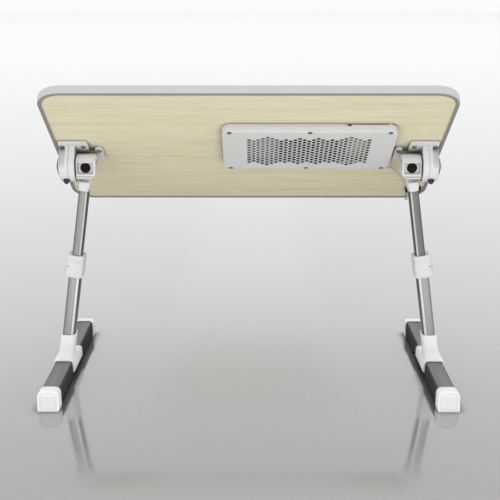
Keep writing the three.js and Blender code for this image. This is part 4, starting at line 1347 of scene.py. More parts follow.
@dataclass
class Fasteners:
    """Every pan-head screw under the top, set by one recipe."""

    head: float = 3.0
    head_height: float = 1.9
    head_rim: float = 0.5
    shank: float = 1.4
    length: float = 11.0
    tip: float = 1.5
    pole: float = 0.001
    recess: float = 1.1
    recess_width: float = 0.75
    recess_reach: float = 0.62  # of the head's radius
    recess_floor: Point = (0.3, 0.6)  # length and width of its floor, of those of its mouth
    clearance: float = 0.15
    bracket_seat: float = 18.0
    seed: int = 7

    def screw(self) -> Object:
        """One screw with a domed head and a cross recess.

        Returns:
            The screw, its head's underside at z = 0 and its shank up.
        """
        rise = self.head_height - self.head_rim
        dome = [
            (self.head * cos(angle), -self.head_rim - rise * sin(angle))
            for angle in (radians(step) for step in range(0, 73, 18))
        ]
        profile = [(self.pole, self.length), (self.shank, self.length - self.tip)]
        profile += [(self.shank, 0.0), (self.head, 0.0), *dome, (self.pole, -self.head_height)]
        body = revolved("cross_screw", profile, 28)
        half, reach = self.recess_width / 2, self.head * self.recess_reach
        mouth = [(-reach, -half), (reach, -half), (reach, half), (-reach, half)]
        floor = [(x * self.recess_floor[0], y * self.recess_floor[1]) for x, y in mouth]
        slots = []
        for turn in (0.0, pi / 2):
            low = level(mouth, -self.head_height - 1)
            slot = skin("slot", [low, level(floor, -self.head_height + self.recess)])
            slots.append(place(slot, Matrix.Rotation(turn, 4, "Z")))
        return smooth(carve(body, slots), 35)

    def build(self, fan: FanUnit) -> None:
        """Sets every screw.

        Args:
            fan: The fan unit under the cover screws.
        """
        seat = fan.face + self.head_height + self.clearance
        points = [(x, y, seat) for x, y in fan.screw_places()]
        nodes = [f"cover_screw_{i + 1}" for i in range(len(points))]
        reach = FRAMES.fold_axis.x / MM
        for side in Side:
            for i, (x, y) in enumerate(BRACKET_SCREWS):
                points.append((side.value * (reach + x), y, self.bracket_seat))
                nodes.append(f"bracket_screw_{side.label}_{i + 1}")
        head = self.screw()
        screws = points_object("cross_recess_screws", points)
        screw_pattern(head, self.seed, ZINC_STEEL.build()).apply(screws)
        bpy.data.objects.remove(head)
        place(smooth(screws, 35), FRAMES.top)
        fit(screws, "top", ZINC_STEEL, *nodes)


# ---- USB lead


def spline_point(a: Vector, b: Vector, c: Vector, d: Vector, t: float) -> Vector:
    """A point between b and c on a smooth curve through a, b, c and d."""
    straight, bend = 2 * b + (c - a) * t, (2 * a - 5 * b + 4 * c - d) * t**2
    return 0.5 * (straight + bend + (3 * b - a - 3 * c + d) * t**3)


@dataclass
class Lead:
    """The fan's USB lead, from its strain relief to the stored turns and the plug."""

    radius: float = 1.5
    round_faces: int = 4
    coil_x: float = 212.0
    coil_y: float = 98.0
    coil_radius: float = 17.2
    layer_low: float = 33.2
    turns: float = 3.25
    points_per_turn: int = 24
    between_turns: float = 0.05
    cross_over: float = 0.2  # share of a turn in which the lead moves to its next place
    spline_steps: int = 4
    route: tuple[Spot, ...] = (
        (195.5, 31.1, 13.8), (201.2, 36.5, 12.8), (208.8, 47.3, 12.1), (214.8, 58.4, 12.2),
        (220.2, 71.1, 12.9), (225.6, 86.9, 14.5), (229.9, 97.5, 16.0), (231.9, 106.5, 17.0),
        (232.8, 113.0, 17.3), (233.6, 119.5, 17.6), (234.3, 127.0, 18.0), (235.1, 136.0, 18.6),
        (235.6, 145.0, 18.7), (235.8, 150.4, 20.4), (236.0, 153.4, 23.5), (236.0, 154.2, 27.2),
        (236.0, 152.6, 30.9), (235.8, 149.2, 33.4), (235.5, 144.5, 34.3), (234.9, 136.0, 34.0),
        (234.0, 126.0, 33.3), (233.2, 116.5, 33.2), (232.4, 106.3, 33.2),
    )
    tail: tuple[Spot, ...] = (
        (200.4, 79.2, 36.2), (196.7, 79.2, 36.1), (193.0, 79.2, 35.9), (189.4, 79.2, 35.8),
    )

    def coil_turns(self) -> list[Spot]:
        """The stored turns: outer and inner below, then inner and outer on top.

        Returns:
            Points along them, a lead's width apart from turn to turn.
        """
        step = self.radius + self.between_turns
        slots = [(step, 0.0), (-step, 0.0), (-step, 2 * step), (step, 2 * step)]
        points = []
        for i in range(round(self.turns * self.points_per_turn) + 1):
            turn = i / self.points_per_turn
            slot = min(int(turn), len(slots) - 1)
            radial, lift = slots[slot]
            share = (turn - slot - 1 + self.cross_over) / self.cross_over
            if slot + 1 < len(slots) and share > 0:
                share = share * share * (3 - 2 * share)
                radial += (slots[slot + 1][0] - radial) * share
                lift += (slots[slot + 1][1] - lift) * share
            angle, reach = -2 * pi * turn, self.coil_radius + radial
            x, y = self.coil_x + reach * cos(angle), self.coil_y + reach * sin(angle)
            points.append((x, y, self.layer_low + lift))
        return points

    def centre_line(self) -> list[Vector]:
        """The whole lead's centre line.

        Returns:
            A smooth dense path in the row frame.
        """
        corners = [Vector(point) for point in (*self.route, *self.coil_turns(), *self.tail)]
        last = len(corners) - 1
        steps = self.spline_steps
        dense = []
        for i in range(last):
            near = [corners[max(0, min(i + ahead, last))] for ahead in (-1, 0, 1, 2)]
            dense += [spline_point(*near, step / steps) for step in range(steps)]
        dense.append(corners[-1])
        return [FRAMES.top @ point for point in dense]

    def sheath(self, line: Sequence[Vector]) -> Object:
        """The lead's round sheath.

        Args:
            line: Its centre line.

        Returns:
            The sheath as a curve.
        """
        curve = bpy.data.curves.new("usb_lead_sheath", "CURVE")
        curve.dimensions = "3D"
        curve.bevel_depth = self.radius * MM
        curve.bevel_resolution = self.round_faces
        curve.use_fill_caps = True
        spline = curve.splines.new("POLY")
        spline.points.add(len(line) - 1)
        for point, at in zip(spline.points, line):
            point.co = (*at, 1.0)
        return new_object("usb_lead_sheath", curve)

    def build(self) -> None:
        """Makes the lead as one cord, with the pieces on it."""
        line = self.centre_line()
        sheath = self.sheath(line)
        fit(sheath, "top", GREY_PVC, "usb_lead", "usb_lead_coil", "usb_lead_tail")
        relief = soften_node("lead_strain_relief", "tapered_strain_relief", 0.25, GREY_ABS)
        grip = soften_node("usb_plug_grip", "plug_grip", 0.5, GREY_PVC)
        dress_node("usb_plug_shell", ZINC_STEEL)
        tie = soften_node("lead_tie", "coil_tie", 0.3, BLACK_ABS)
        soften_node("lead_clip", "lead_saddle_clip", 0.5, BLACK_ABS)
        length = sum((b - a).length for a, b in zip(line, line[1:]))
        LOG.info("lead length %.3f m", length)
        tuple(line[0])


# ---- hinges


@dataclass
class HingeBracket:
    """Moulded housing with its dark ring, tilt button and bumper."""

    side: Side
    inner: float = 14.1
    outer: float = 35.7
    radius: float = 21.0
    inner_break: float = 0.7
    edge_round: float = 5.0
    round_steps: int = 8
    nose_steps: int = 40
    plate_bottom: float = 18.3
    plate_top: float = 21.3
    plate_inner: float = 3.6
    plate_near: float = 33.2
    plate_far: float = 24.0
    plate_corner: float = 4.0
    plate_soft: Point = (0.99, 0.5)  # share of its outline and height of its lower soft edge
    foot_flare: float = 2.6
    flare_height: float = 5.6
    flare_above: float = 0.6
    flare_steps: int = 6
    hub_radius: float = 9.4
    hub_seat: float = 26.9
    button_bore: float = 5.0
    lug_inner: float = 21.8
    lug_width: float = 10.8
    lug_half: float = 17.0
    bridge_y: float = 4.5
    bridge_end: float = 2.0
    seam: float = 0.5
    seam_x: float = 22.4
    seam_depth: float = 0.4
    seam_slope: float = 0.15
    screw_bore: float = 1.7
    sunk_screw_bore: float = 3.9
    bumper_x: float = 26.0
    bumper_bore: float = 3.1
    bumper_bore_depth: float = 4.5
    clearance: float = 0.3
    # The tilt ring's section: radius, and distance out from the housing.
    ring_rows: Rows = (
        (5.0, 0.0), (12.5, 0.0), (12.5, 0.9), (12.2, 1.5), (11.4, 2.0), (10.2, 2.3), (5.4, 2.3),
        (5.0, 1.9),
    )
    # The bumper's section: radius, and height over the housing's lowest line.
    bumper_rows: Rows = (
        (0.0, -4.5), (2.0, -4.5), (2.3, -4.35), (4.4, -1.0), (4.5, -0.7), (4.5, -0.2), (4.3, 0.0),
        (2.8, 0.0), (2.8, 4.0), (0.0, 4.0),
    )
    push_radius: float = 4.6
    push_length: float = 12.6
    push_dome: float = 1.6
    push_proud: float = 3.3

    def housing_ring(self, x: float, shrink: float) -> Ring:
        """The U-shaped outline at one station, its legs spreading into the plate.

        Args:
            x: The station.
            shrink: How far the outline is set back.

        Returns:
            The ring.
        """
        reach, steps = self.radius - shrink, self.flare_steps
        flare = []
        for i in range(steps + 1):
            spread = self.foot_flare * (1 - sin(pi / 2 * i / steps))
            down = self.flare_height * i / steps
            flare.append((reach + spread, self.plate_bottom + self.flare_above - down))
        nose = arc((0.0, 0.0), reach, 0, -180, self.nose_steps)
        outline = flare + nose + [(-y, z) for y, z in reversed(flare)]
        return [Vector((x, y, z)) for y, z in outline]

    def housing(self) -> Object:
        """The rounded housing with its seam.

        Returns:
            A solid.
        """
        soft, half = self.edge_round, self.seam / 2
        stations = [(self.inner, self.inner_break), (self.inner + self.inner_break, 0.0)]
        stations += [
            (self.seam_x - half - self.seam_slope, 0.0),
            (self.seam_x - half, self.seam_depth),
            (self.seam_x + half, self.seam_depth),
            (self.seam_x + half + self.seam_slope, 0.0),
        ]
        for i in range(self.round_steps + 1):
            turn = pi / 2 * i / self.round_steps
            x, shrink = self.outer - soft * (1 - sin(turn)), soft * (1 - cos(turn))
            stations.append((x, shrink))
        rings = [self.housing_ring(x, shrink) for x, shrink in stations]
        return skin(f"bracket_shell_{self.side.label}", rings)

    def plates(self) -> list[Object]:
        """The screw plate, the lug beside it and the bridge between them.

        Returns:
            Three solids.
        """
        wide, deep = self.outer + self.plate_inner, self.plate_near + self.plate_far
        middle = ((self.outer - self.plate_inner) / 2, (self.plate_far - self.plate_near) / 2)
        lug = rounded_outline(self.lug_width, 2 * self.lug_half, self.lug_width / 2 - 0.01, 10)
        bridge = rounded_outline(self.lug_inner - self.bridge_end, self.lug_half, 0.2, 1)
        share, rise = self.plate_soft
        made = []
        for outline, at in (
            (rounded_outline(wide, deep, self.plate_corner, 8), middle),
            (lug, (self.lug_width / 2 - self.lug_inner, 0.0)),
            (bridge, (-self.lug_inner / 2 + self.bridge_end, self.bridge_y)),
        ):
            low, high = self.plate_bottom, self.plate_top
            soft_level = level([(x * share, y * share) for x, y in outline], low, at)
            upper = [level(outline, z, at) for z in (low + rise, high)]
            made.append(skin("plate", [soft_level, *upper]))
        return made

    def shell(self) -> Object:
        """Housing, screw plate, lug and bridge as one moulding with its bores.

        Returns:
            The moulding in the bracket frame.
        """
        made = carve(self.housing(), self.plates(), "UNION")
        below, sunk = -self.radius - 1, BRACKET_SCREWS[0]
        bumper = (self.bumper_x, 0.0)
        tools = [
            rod("x", self.hub_radius, 0, self.hub_seat),
            rod("x", self.button_bore, 0, self.outer + 1),
            rod("z", self.bumper_bore, below, self.bumper_bore_depth + 1, bumper, 24),
            rod("z", self.sunk_screw_bore, below, self.plate_bottom - below, sunk, 32),
        ]
        start, through = self.plate_bottom - 1, self.plate_top - self.plate_bottom + 2
        tools += [rod("z", self.screw_bore, start, through, at, 16) for at in BRACKET_SCREWS]
        return smooth(carve(made, tools), 38)

    def push(self) -> Object:
        """The domed tilt button, proud of its ring.

        Returns:
            The button, turned about z.
        """
        ring = self.outer + self.clearance + max(out for _, out in self.ring_rows)
        end, soft = ring + self.push_proud, self.push_dome
        quarter = arc((0.0, 0.0), 1.0, 0, 90, 9)
        dome = [(self.push_radius * x, end - soft + soft * z) for x, z in quarter]
        low = end - self.push_length
        profile = [(0.0, low), (self.push_radius, low), *dome[:-1], (0.0, end)]
        return revolved(f"tilt_push_{self.side.label}", profile)

    def build(self) -> None:
        """Makes and dresses one side's bracket."""
        label, where = self.side.label, FRAMES.bracket(self.side)
        fit(place(self.shell(), where), "top", WHITE_ABS, f"bracket_{label}")
        start = self.outer + self.clearance
        rows = [(radius, start + out) for radius, out in self.ring_rows]
        ring = revolved(f"tilt_ring_{label}", rows, 64, closed=True)
        ring = smooth(place(ring, where @ OUTWARD), 40)
        fit(ring, "top", CHARCOAL_ABS, f"tilt_bezel_{label}")
        seat = -self.radius - self.clearance
        rows = [(radius, seat + up) for radius, up in self.bumper_rows]
        bumper = revolved(f"rubber_bumper_{label}", rows)
        bumper = smooth(place(bumper, where @ shift(self.bumper_x, 0.0)), 50)
        fit(bumper, "top", BLACK_RUBBER, f"bumper_{label}")
        body = f"tilt_button_{label}"
        fit(smooth(place(self.push(), where @ OUTWARD), 40), body, WHITE_ABS, body)


@dataclass
class Knuckle:
    """The fork that the leg folds in, with its black button."""

    side: Side
    half_width: float = 13.3
    front: float = 15.3
    back: float = 11.2
    top_radius: float = 17.0
    bottom: float = 15.0
    bottom_round: float = 2.4
    corner: float = 9.0
    corner_set_out: float = 0.2
    outer_wall: float = 4.5
    hub_radius: float = 9.0
    hub_length: float = 13.0
    slot_half: float = 7.4
    slot_top: float = 8.8
    window: Spot = (21.0, 14.4, 2.3)
    window_round: float = 1.6
    window_drop: float = 0.5
    ridges: Rows = ((8.0, 22.5), (-9.3, 19.0))
    ridge_high: float = 1.9
    ridge_round: float = 0.9
    ridge_aside: float = 0.3
    ridge_crown: Point = (0.97, 0.6)  # width and height of its crest, of those of its root
    ridge_levels: Spot = (-0.55, -0.2, 1.2)
    button_seat: float = 6.9
    seat_depth: float = 5.9
    pin_bore: float = 4.8
    pin_end: float = 2.3
    groove: Spot = (-12.4, -11.3, 1.0)
    groove_round: float = 0.5
    edge_round: float = 1.5
    round_steps: int = 5
    push_set_back: float = 0.6
    # The fold button's section: radius, and distance forward of its face.
    push_rows: Rows = (
        (0.0, -0.9), (2.4, -0.8), (3.6, -0.4), (4.3, 0.0), (5.4, 0.0), (6.1, -0.25), (6.4, -0.9),
        (6.4, -3.1), (2.7, -3.1), (2.7, -10.6), (0.0, -10.6),
    )

    def profile(self, shrink: float) -> Outline:
        """The block seen from the side.

        Args:
            shrink: How far the outline is set back.

        Returns:
            The outline in (y, z).
        """
        radius, front, back = self.top_radius - shrink, self.front - shrink, self.back - shrink
        low, soft = -self.bottom + shrink, self.bottom_round
        start, end = (degrees(acos(y / radius)) for y in (back, -front))
        near = arc((soft - front, low + soft), soft, 180, 270, 6)
        far = arc((back - soft, low + soft), soft, 270, 360, 6)
        return arc((0, 0), radius, start, end, 32) + near + far

    def block(self) -> Object:
        """The moulded block with its hub, cut and ribbed.

        Returns:
            The block in the knuckle frame.
        """
        half, soft = self.half_width, self.edge_round
        turns = [pi / 2 * i / self.round_steps for i in range(self.round_steps + 1)]
        inward = [(-half + soft * (1 - sin(t)), soft * (1 - cos(t))) for t in turns]
        inward.reverse()
        stations = inward + [(-x, shrink) for x, shrink in reversed(inward)]
        rings = [[Vector((x, y, z)) for y, z in self.profile(shrink)] for x, shrink in stations]
        made = skin(f"knuckle_block_{self.side.label}", rings)
        deep = self.front + self.back + 2
        carve(made, [pushed("y", self.corner_mask(), -self.front - 1, deep)], "INTERSECT")
        carve(made, [rod("x", self.hub_radius, half - 2, self.hub_length + 2)], "UNION")
        carve(made, self.cuts())
        carve(made, [self.ridge(middle, width) for middle, width in self.ridges], "UNION")
        return smooth(made, 34)

    def corner_mask(self) -> Outline:
        """The block seen from the front, its lower inner corner round.

        Returns:
            The outline in (x, z).
        """
        half, high, wide = self.half_width, self.top_radius + 1, self.half_width + 10
        centre = (self.corner - half, self.corner - self.bottom)
        corner = arc(centre, self.corner + 0.01, 180, 270, 16)
        start = (-half - self.corner_set_out, high)
        return [start, *corner, (wide, -self.bottom - 0.01), (wide, high)]

    def cuts(self) -> list[Object]:
        """Slot, window, button seat, pin bore and groove.

        Returns:
            Solids to cut away.
        """
        half, low, lean = self.half_width, -self.bottom - 1, tan(FRAMES.splay)
        inner, ahead = half - self.outer_wall, -self.front - 1
        slot = [(-half - 1, low), (inner - low * lean, low), (inner, 0.0), (inner, self.slot_top)]
        slot.append((-half - 1, self.slot_top))
        wide, high, deep = self.window
        window = rounded_outline(wide, high, self.window_round, 5, (0.0, -self.window_drop))
        bottom, top, cut = self.groove
        middle = (0.0, (bottom + top) / 2)
        groove = rounded_outline(2 * half + 2, top - bottom, self.groove_round, middle=middle)
        through = self.slot_half + self.pin_end - ahead
        return [
            pushed("y", slot, -self.slot_half, 2 * self.slot_half),
            pushed("y", window, ahead, deep + 1),
            rod("y", self.button_seat, ahead, self.seat_depth + 1, sides=48),
            rod("y", self.pin_bore, ahead, through, sides=40),
            pushed("y", groove, ahead, cut + 1),
        ]

    def ridge(self, middle: float, width: float) -> Object:
        """A low round-edged rib across the front.

        Args:
            middle: Its height.
            width: Its length.

        Returns:
            A solid.
        """
        root = rounded_outline(width, self.ridge_high, self.ridge_round, 6)
        aside, (along, across) = self.ridge_aside, self.ridge_crown
        crest = [((x - aside) * along, z * across + middle) for x, z in root]
        root = [(x - aside, z + middle) for x, z in root]
        rings = [
            [Vector((x, out - self.front, z)) for x, z in points]
            for points, out in zip((crest, root, root), self.ridge_levels)
        ]
        return skin("ridge", rings)

    def build(self) -> None:
        """Makes and dresses one side's knuckle."""
        label, where = self.side.label, FRAMES.knuckle(self.side)
        body, button = f"knuckle_{label}", f"fold_button_{label}"
        fit(place(self.block(), where), body, WHITE_ABS, body)
        dress_node(f"fold_pin_{label}", ZINC_STEEL)
        face = self.front - self.push_set_back
        press = revolved(f"fold_push_{label}", [(r, face + out) for r, out in self.push_rows])
        fit(smooth(place(press, where @ FORWARD), 50), button, BLACK_ABS, button)


# ---- legs


@dataclass(frozen=True)
class TubeSection:
    """A rounded rectangular tube and where it starts and ends down the leg."""

    width: float
    depth: float
    corner: float
    wall: float
    span: Point

    def outline(self, grow: float = 0.0, steps: int = 8) -> Outline:
        """The tube's outline in (x, y), grown on every side."""
        width, depth = self.width + 2 * grow, self.depth + 2 * grow
        return rounded_outline(width, depth, self.corner + grow, steps)


@dataclass
class Leg:
    """Neck, telescopic tubes, collar and its button."""

    side: Side
    head_radius: float = 8.0
    head_depth: float = 14.0
    head_bore: float = 4.9
    neck_wide: float = 16.0
    neck_deep: float = 21.0
    neck_end: float = 33.4
    neck_narrow: float = 13.6
    neck_taper: Point = (-27.4, -25.6)  # heights between which it takes its full width
    shoulder: float = 18.6
    plug_length: float = 20.0
    upper: TubeSection = TubeSection(12.8, 20.0, 3.2, 1.2, (-33.6, -168.5))
    lower: TubeSection = TubeSection(16.0, 23.2, 4.0, 1.3, (-126.0, -268.39))
    collar_wide: float = 24.0
    collar_deep: float = 28.6
    collar_out: float = 1.2
    collar_top: float = -123.5
    collar_height: float = 31.8
    collar_corner: float = 3.4
    collar_bow: float = 1.6
    collar_lip: float = 2.2
    slide_gap: float = 0.3
    mouth_gap: float = 0.4
    bow_steps: int = 8
    # The collar's rings: inset, and height over its bottom or depth below its top.
    bottom_rows: Rows = ((1.6, 0.0), (0.7, 0.5), (0.2, 1.8), (0.0, 4.0))
    top_rows: Rows = (
        (0.0, 9.2), (0.25, 8.9), (0.25, 8.5), (0.0, 8.2), (0.0, 6.6), (0.18, 6.3), (0.18, 6.0),
        (0.0, 5.7), (0.0, 1.3), (0.3, 0.5), (0.9, 0.0),
    )
    pin_radius: float = 1.0
    pin_set_in: float = 3.2
    pin_below: float = 16.0
    pocket_depth: float = 2.9
    push_wide: float = 11.0
    push_high: float = 15.0
    push_from_top: float = 19.6
    push_thick: float = 3.0
    push_proud: float = 1.8
    push_clearance: float = 0.4
    push_round: float = 0.9

    def neck(self) -> Object:
        """The round head that widens into the tube's plug.

        Returns:
            The neck in the leg frame.
        """
        head = rod("y", self.head_radius, -self.head_depth / 2, self.head_depth, sides=64)
        named(head, f"neck_moulding_{self.side.label}")
        wide, deep, narrow = self.neck_wide, self.neck_deep, self.neck_narrow
        end, top, flat = -self.neck_end, -self.shoulder, self.head_depth
        taper_low, taper_high = self.neck_taper
        sleeve = (
            (narrow - 1.6, deep - 1.6, 3.4, end), (narrow, deep, 4.2, end + 0.9),
            (narrow + 0.7, deep, 4.2, end + 4), (wide - 0.5, deep, 4.2, taper_low),
            (wide, deep, 4.2, taper_high), (wide, deep, 4.2, top - 3.6),
            (wide, deep - 1, 4, top - 2), (wide, flat + 2.4, 3.4, top - 0.6),
            (wide, flat, 1.2, top + 0.4), (wide, flat, 0.8, 0.0),
        )
        bore = 2 * self.upper.wall
        plug = rounded_outline(self.upper.width - bore - 0.6, self.upper.depth - bore - 1, 2.5, 4)
        inner = pushed("z", plug, end - self.plug_length, self.plug_length + 1)
        carve(head, [stacked("sleeve", sleeve, 8), inner], "UNION")
        carve(head, [rod("y", self.head_bore, -flat, 2 * flat, sides=40)])
        return smooth(head, 34)

    def tube(self, name: str, section: TubeSection) -> Object:
        """A rounded tube whose points know how far they face inward or outward.

        Args:
            name: The tube's name.
            section: Its section and span.

        Returns:
            The tube in the leg frame.
        """
        half, radius = section.width / 2, section.corner
        outer, inner = (section.outline(grow, 10) for grow in (0.0, -section.wall))
        made = hollow(name, "z", outer, inner, section.span)

        def across(point: Vector) -> float:
            """From -1 on the flank toward the table's middle to 1 on the outer one."""
            over = max(abs(point.x) - (half - radius), 0.0) / radius
            facing = copysign(min(1.0, over), point.x)
            return 0.7 * facing + 0.3 * point.x / half

        # The mark carries the tube's painted highlight and painted reflection.
        return smooth(mark_across(made, across), 40)

    def collar_ring(self, inset: float, below: float) -> Ring:
        """The collar's outline at one height, bowed toward front and back.

        Args:
            inset: How far it is set in.
            below: Its depth below the collar's top.

        Returns:
            The ring.
        """
        half, bow = self.collar_wide / 2 - inset, self.collar_bow
        reach = self.collar_deep / 2 - inset - bow
        outline = rounded_outline(2 * half, 2 * reach, self.collar_corner, 8)
        z = self.collar_top - below
        ring = []
        for (x, y), (next_x, next_y) in zip(outline, outline[1:] + outline[:1]):
            on_face = abs(y - next_y) < 1e-6 and abs(x - next_x) > half - self.collar_corner
            steps = self.bow_steps if on_face else 1
            for i in range(steps):
                px, py = x + (next_x - x) * i / steps, y + (next_y - y) * i / steps
                out = bow * max(0.0, cos(pi / 2 * px / half))
                ring.append(Vector((px + self.collar_out, py + copysign(out, py), z)))
        return ring

    def collar(self) -> Object:
        """The bowed collar with its rim, seam, pin hole and button pocket.

        Returns:
            The collar in the leg frame.
        """
        top, high, lip = self.collar_top, self.collar_height, self.collar_lip
        rows = [(inset, high - over) for inset, over in self.bottom_rows] + list(self.top_rows)
        rings = [self.collar_ring(inset, below) for inset, below in rows]
        made = skin(f"collar_moulding_{self.side.label}", rings)
        face = self.collar_out + self.collar_wide / 2
        pin = (face - self.pin_set_in, top - self.pin_below)
        bore, mouth = self.lower.outline(self.slide_gap), self.upper.outline(self.mouth_gap)
        tools = [
            pushed("z", bore, top - high - 1, high + 1 - lip),
            pushed("z", mouth, top - lip - 1, lip + 2),
            self.push_shape(self.push_clearance, face - self.pocket_depth, self.pocket_depth + 2),
            rod("y", self.pin_radius, -self.collar_deep / 2 - 1, 3.6, pin, 16),
        ]
        return smooth(carve(made, tools), 40)

    def push_shape(self, grow: float, start: float, length: float) -> Object:
        """The height button's outline pushed outward.

        Args:
            grow: Added on every side.
            start: Where it begins.
            length: How far it goes.

        Returns:
            The solid.
        """
        wide, high = self.push_wide + 2 * grow, self.push_high + 2 * grow
        middle = (0.0, self.collar_top - self.push_from_top)
        outline = rounded_outline(wide, high, self.push_wide / 2 - 1 + grow, middle=middle)
        return pushed("x", outline, start, length)

    def build(self) -> None:
        """Makes and dresses one side's leg."""
        label, where = self.side.label, FRAMES.leg(self.side)
        upper, lower, push = f"upper_leg_{label}", f"lower_leg_{label}", f"height_button_{label}"
        fit(place(self.neck(), where), upper, WHITE_ABS, f"neck_{label}")
        for part, body, section in (("upper", upper, self.upper), ("lower", lower, self.lower)):
            node = f"{part}_tube_{label}"
            tube = place(self.tube(f"{node}_extrusion", section), where)
            fit(tube, body, SATIN_ALUMINIUM[part, self.side], node)
        fit(place(self.collar(), where), lower, WHITE_ABS, f"collar_{label}")
        face = self.collar_out + self.collar_wide / 2
        press = self.push_shape(0.0, face + self.push_proud - self.push_thick, self.push_thick)
        press = rounded_edges(named(press, f"height_push_{label}"), self.push_round, 40, 4)
        fit(place(press, where), push, WHITE_ABS, push)


# ---- feet


@dataclass
class Foot:
    """Saddle, foot bar and its two caps."""

    side: Side
    floor_gap: float = 2.2
    clearance: float = 0.3
    bar_width: float = 24.2
    bar_height: float = 23.4
    bar_flat: float = 18.8
    bar_shoulder: float = 7.5
    bar_wall: float = 1.6
    bar_end: float = 139.6
    cap_end: float = 148.5
    cap_width: float = 28.2
    cap_height: float = 27.0
    cap_corner: float = 7.5
    cap_corner_share: float = 0.6  # how much of an inset the cap's corners lose
    cap_foot: float = 0.8
    cap_foot_break: float = 0.5
    cap_depth: float = 20.0
    cap_face: float = 8.6
    cap_lean: float = 5.0
    cap_round: float = 4.0
    cap_edge: float = 1.0
    panel_inset: float = 3.2
    panel_depth: float = 0.45
    rib_count: int = 8
    rib_width: float = 1.5
    rib_deep: float = 3.0
    rib_top: float = 19.0
    rib_edge: float = 0.2
    rib_set_back: float = 1.68
    saddle_y: float = -23.0
    saddle_front: float = 16.0
    saddle_back: float = 48.0
    saddle_wall: float = 2.3
    saddle_lip: float = 10.5
    saddle_round: float = 9.0
    saddle_edge: float = 0.7
    socket_top: float = 64.0
    socket_width: float = 20.2
    socket_depth: float = 27.4
    socket_corner: float = 5.5
    socket_floor: float = 34.6
    socket_bore: Spot = (16.6, 23.8, 4.3)
    # The socket's soft rim: depth below its top and inset.
    rim_rows: Rows = ((0.0, 0.9), (0.3, 0.25), (0.9, 0.0), (20.0, 0.0))
    flare: tuple[tuple[float, ...], ...] = (
        # height, inner and outer flank, reach toward the front and the back
        (40.0, -14.1, 6.35, 13.7, 13.7), (37.0, -13.9, 7.1, 13.8, 14.0),
        (34.5, -13.7, 8.0, 14.2, 14.8), (32.5, -13.5, 8.9, 14.6, 16.0),
        (30.8, -13.4, 9.8, 15.0, 17.5), (29.5, -13.3, 10.8, 15.3, 19.0),
        (28.6, -13.2, 11.6, 15.5, 20.5), (27.8, -13.1, 12.3, 15.7, 21.8),
        (26.0, -12.8, 12.6, 15.8, 22.4), (23.6, -12.0, 12.0, 15.4, 22.4),
    )

    @property
    def seat(self) -> float:
        """Height of the bar's top."""
        return self.floor_gap + self.bar_height

    def bar_outline(self, grow: float, bottom: float, steps: int = 10) -> Outline:
        """The bar's section: a flat top with long rounded shoulders.

        Args:
            grow: Added on either side and above.
            bottom: Where it ends below.
            steps: Segments in each shoulder.

        Returns:
            The outline in (x, z).
        """
        half, top = self.bar_width / 2 + grow, self.seat + grow
        side, flat = self.seat - self.bar_shoulder, self.bar_flat / 2 + grow
        shoulder = curve_through((half, side), (half, top - 1), (flat, top), steps)
        return mirrored([(half, bottom), *shoulder])

    def bar(self) -> Object:
        """The hollow extruded bar; its points know how far they face up.

        Returns:
            The bar in the foot frame.
        """
        outer = self.bar_outline(0.0, self.floor_gap)
        inner = self.bar_outline(-self.bar_wall, self.floor_gap + self.bar_wall)
        end, rise = self.bar_end - self.clearance, self.bar_shoulder
        made = hollow(f"foot_bar_extrusion_{self.side.label}", "y", outer, inner, (end, -end))

        def across(point: Vector) -> float:
            """-1 on the flanks, rising over the shoulders to 1 on top."""
            return max(-1.0, min(1.0, (point.z - self.seat + rise) / rise * 2 - 1))

        # The mark carries the bar's painted highlight on top and painted shade on its flanks.
        return smooth(mark_across(made, across), 40)

    def cap_outline(self, inset: float) -> Outline:
        """A cap's outline: square at the floor, round at the top.

        Args:
            inset: How far it is set in.

        Returns:
            The outline in (x, z).
        """
        half, top, foot = self.cap_width / 2 - inset, self.cap_height - inset, self.cap_foot
        radius = self.cap_corner - inset * self.cap_corner_share
        if inset:
            low = arc((half - foot, inset + foot), foot, -90, 0, 3)
        else:
            low = [(half - self.cap_foot_break, 0.0), (half, self.cap_foot_break)]
        return mirrored(low + arc((half - radius, top - radius), radius, 0, 90, 12))

    def cap_side(self, inset: float) -> Object:
        """The cap's side view as a wide slab: a leaning face under a rounded top edge.

        Args:
            inset: How far its face is set back.

        Returns:
            The slab.
        """
        start, high, soft = inset - self.cap_end, self.cap_height, self.cap_round
        lean, end = start + self.cap_lean, start + self.cap_depth + 1
        top = curve_through((lean, high - soft), (lean + 1, high), (lean + 1 + soft, high), 12)
        outline = [(start + 0.5, -1), (start, 0.0), *top, (end, high), (end, -1)]
        return pushed("x", outline, -self.cap_width, 2 * self.cap_width)

    def ribs(self) -> Object:
        """The row of ribs, leaning with the cap's face.

        Returns:
            The ribs as one mesh.
        """
        bottom, wide = self.panel_inset - 1.0, self.rib_width
        rows = [(wide, self.rib_deep, self.rib_edge, z) for z in (bottom, self.rib_top)]
        rib = rounded_edges(stacked("rib", rows, 2), self.rib_edge, 30, 1)
        pitch = (self.cap_width - 2 * self.panel_inset - 1) / self.rib_count
        row = stacked("ribs", [(0.1, 0.1, 0.01, z) for z in (0.0, 0.1)], 1)
        rib_row(rib, self.rib_count, pitch, WHITE_ABS.build()).apply(row)
        bpy.data.objects.remove(rib)
        lean = atan2(self.cap_lean, self.cap_height - self.cap_round)
        back = shift(0, self.rib_set_back - self.cap_end)
        return place(row, back @ Matrix.Rotation(-lean, 4, "X"))

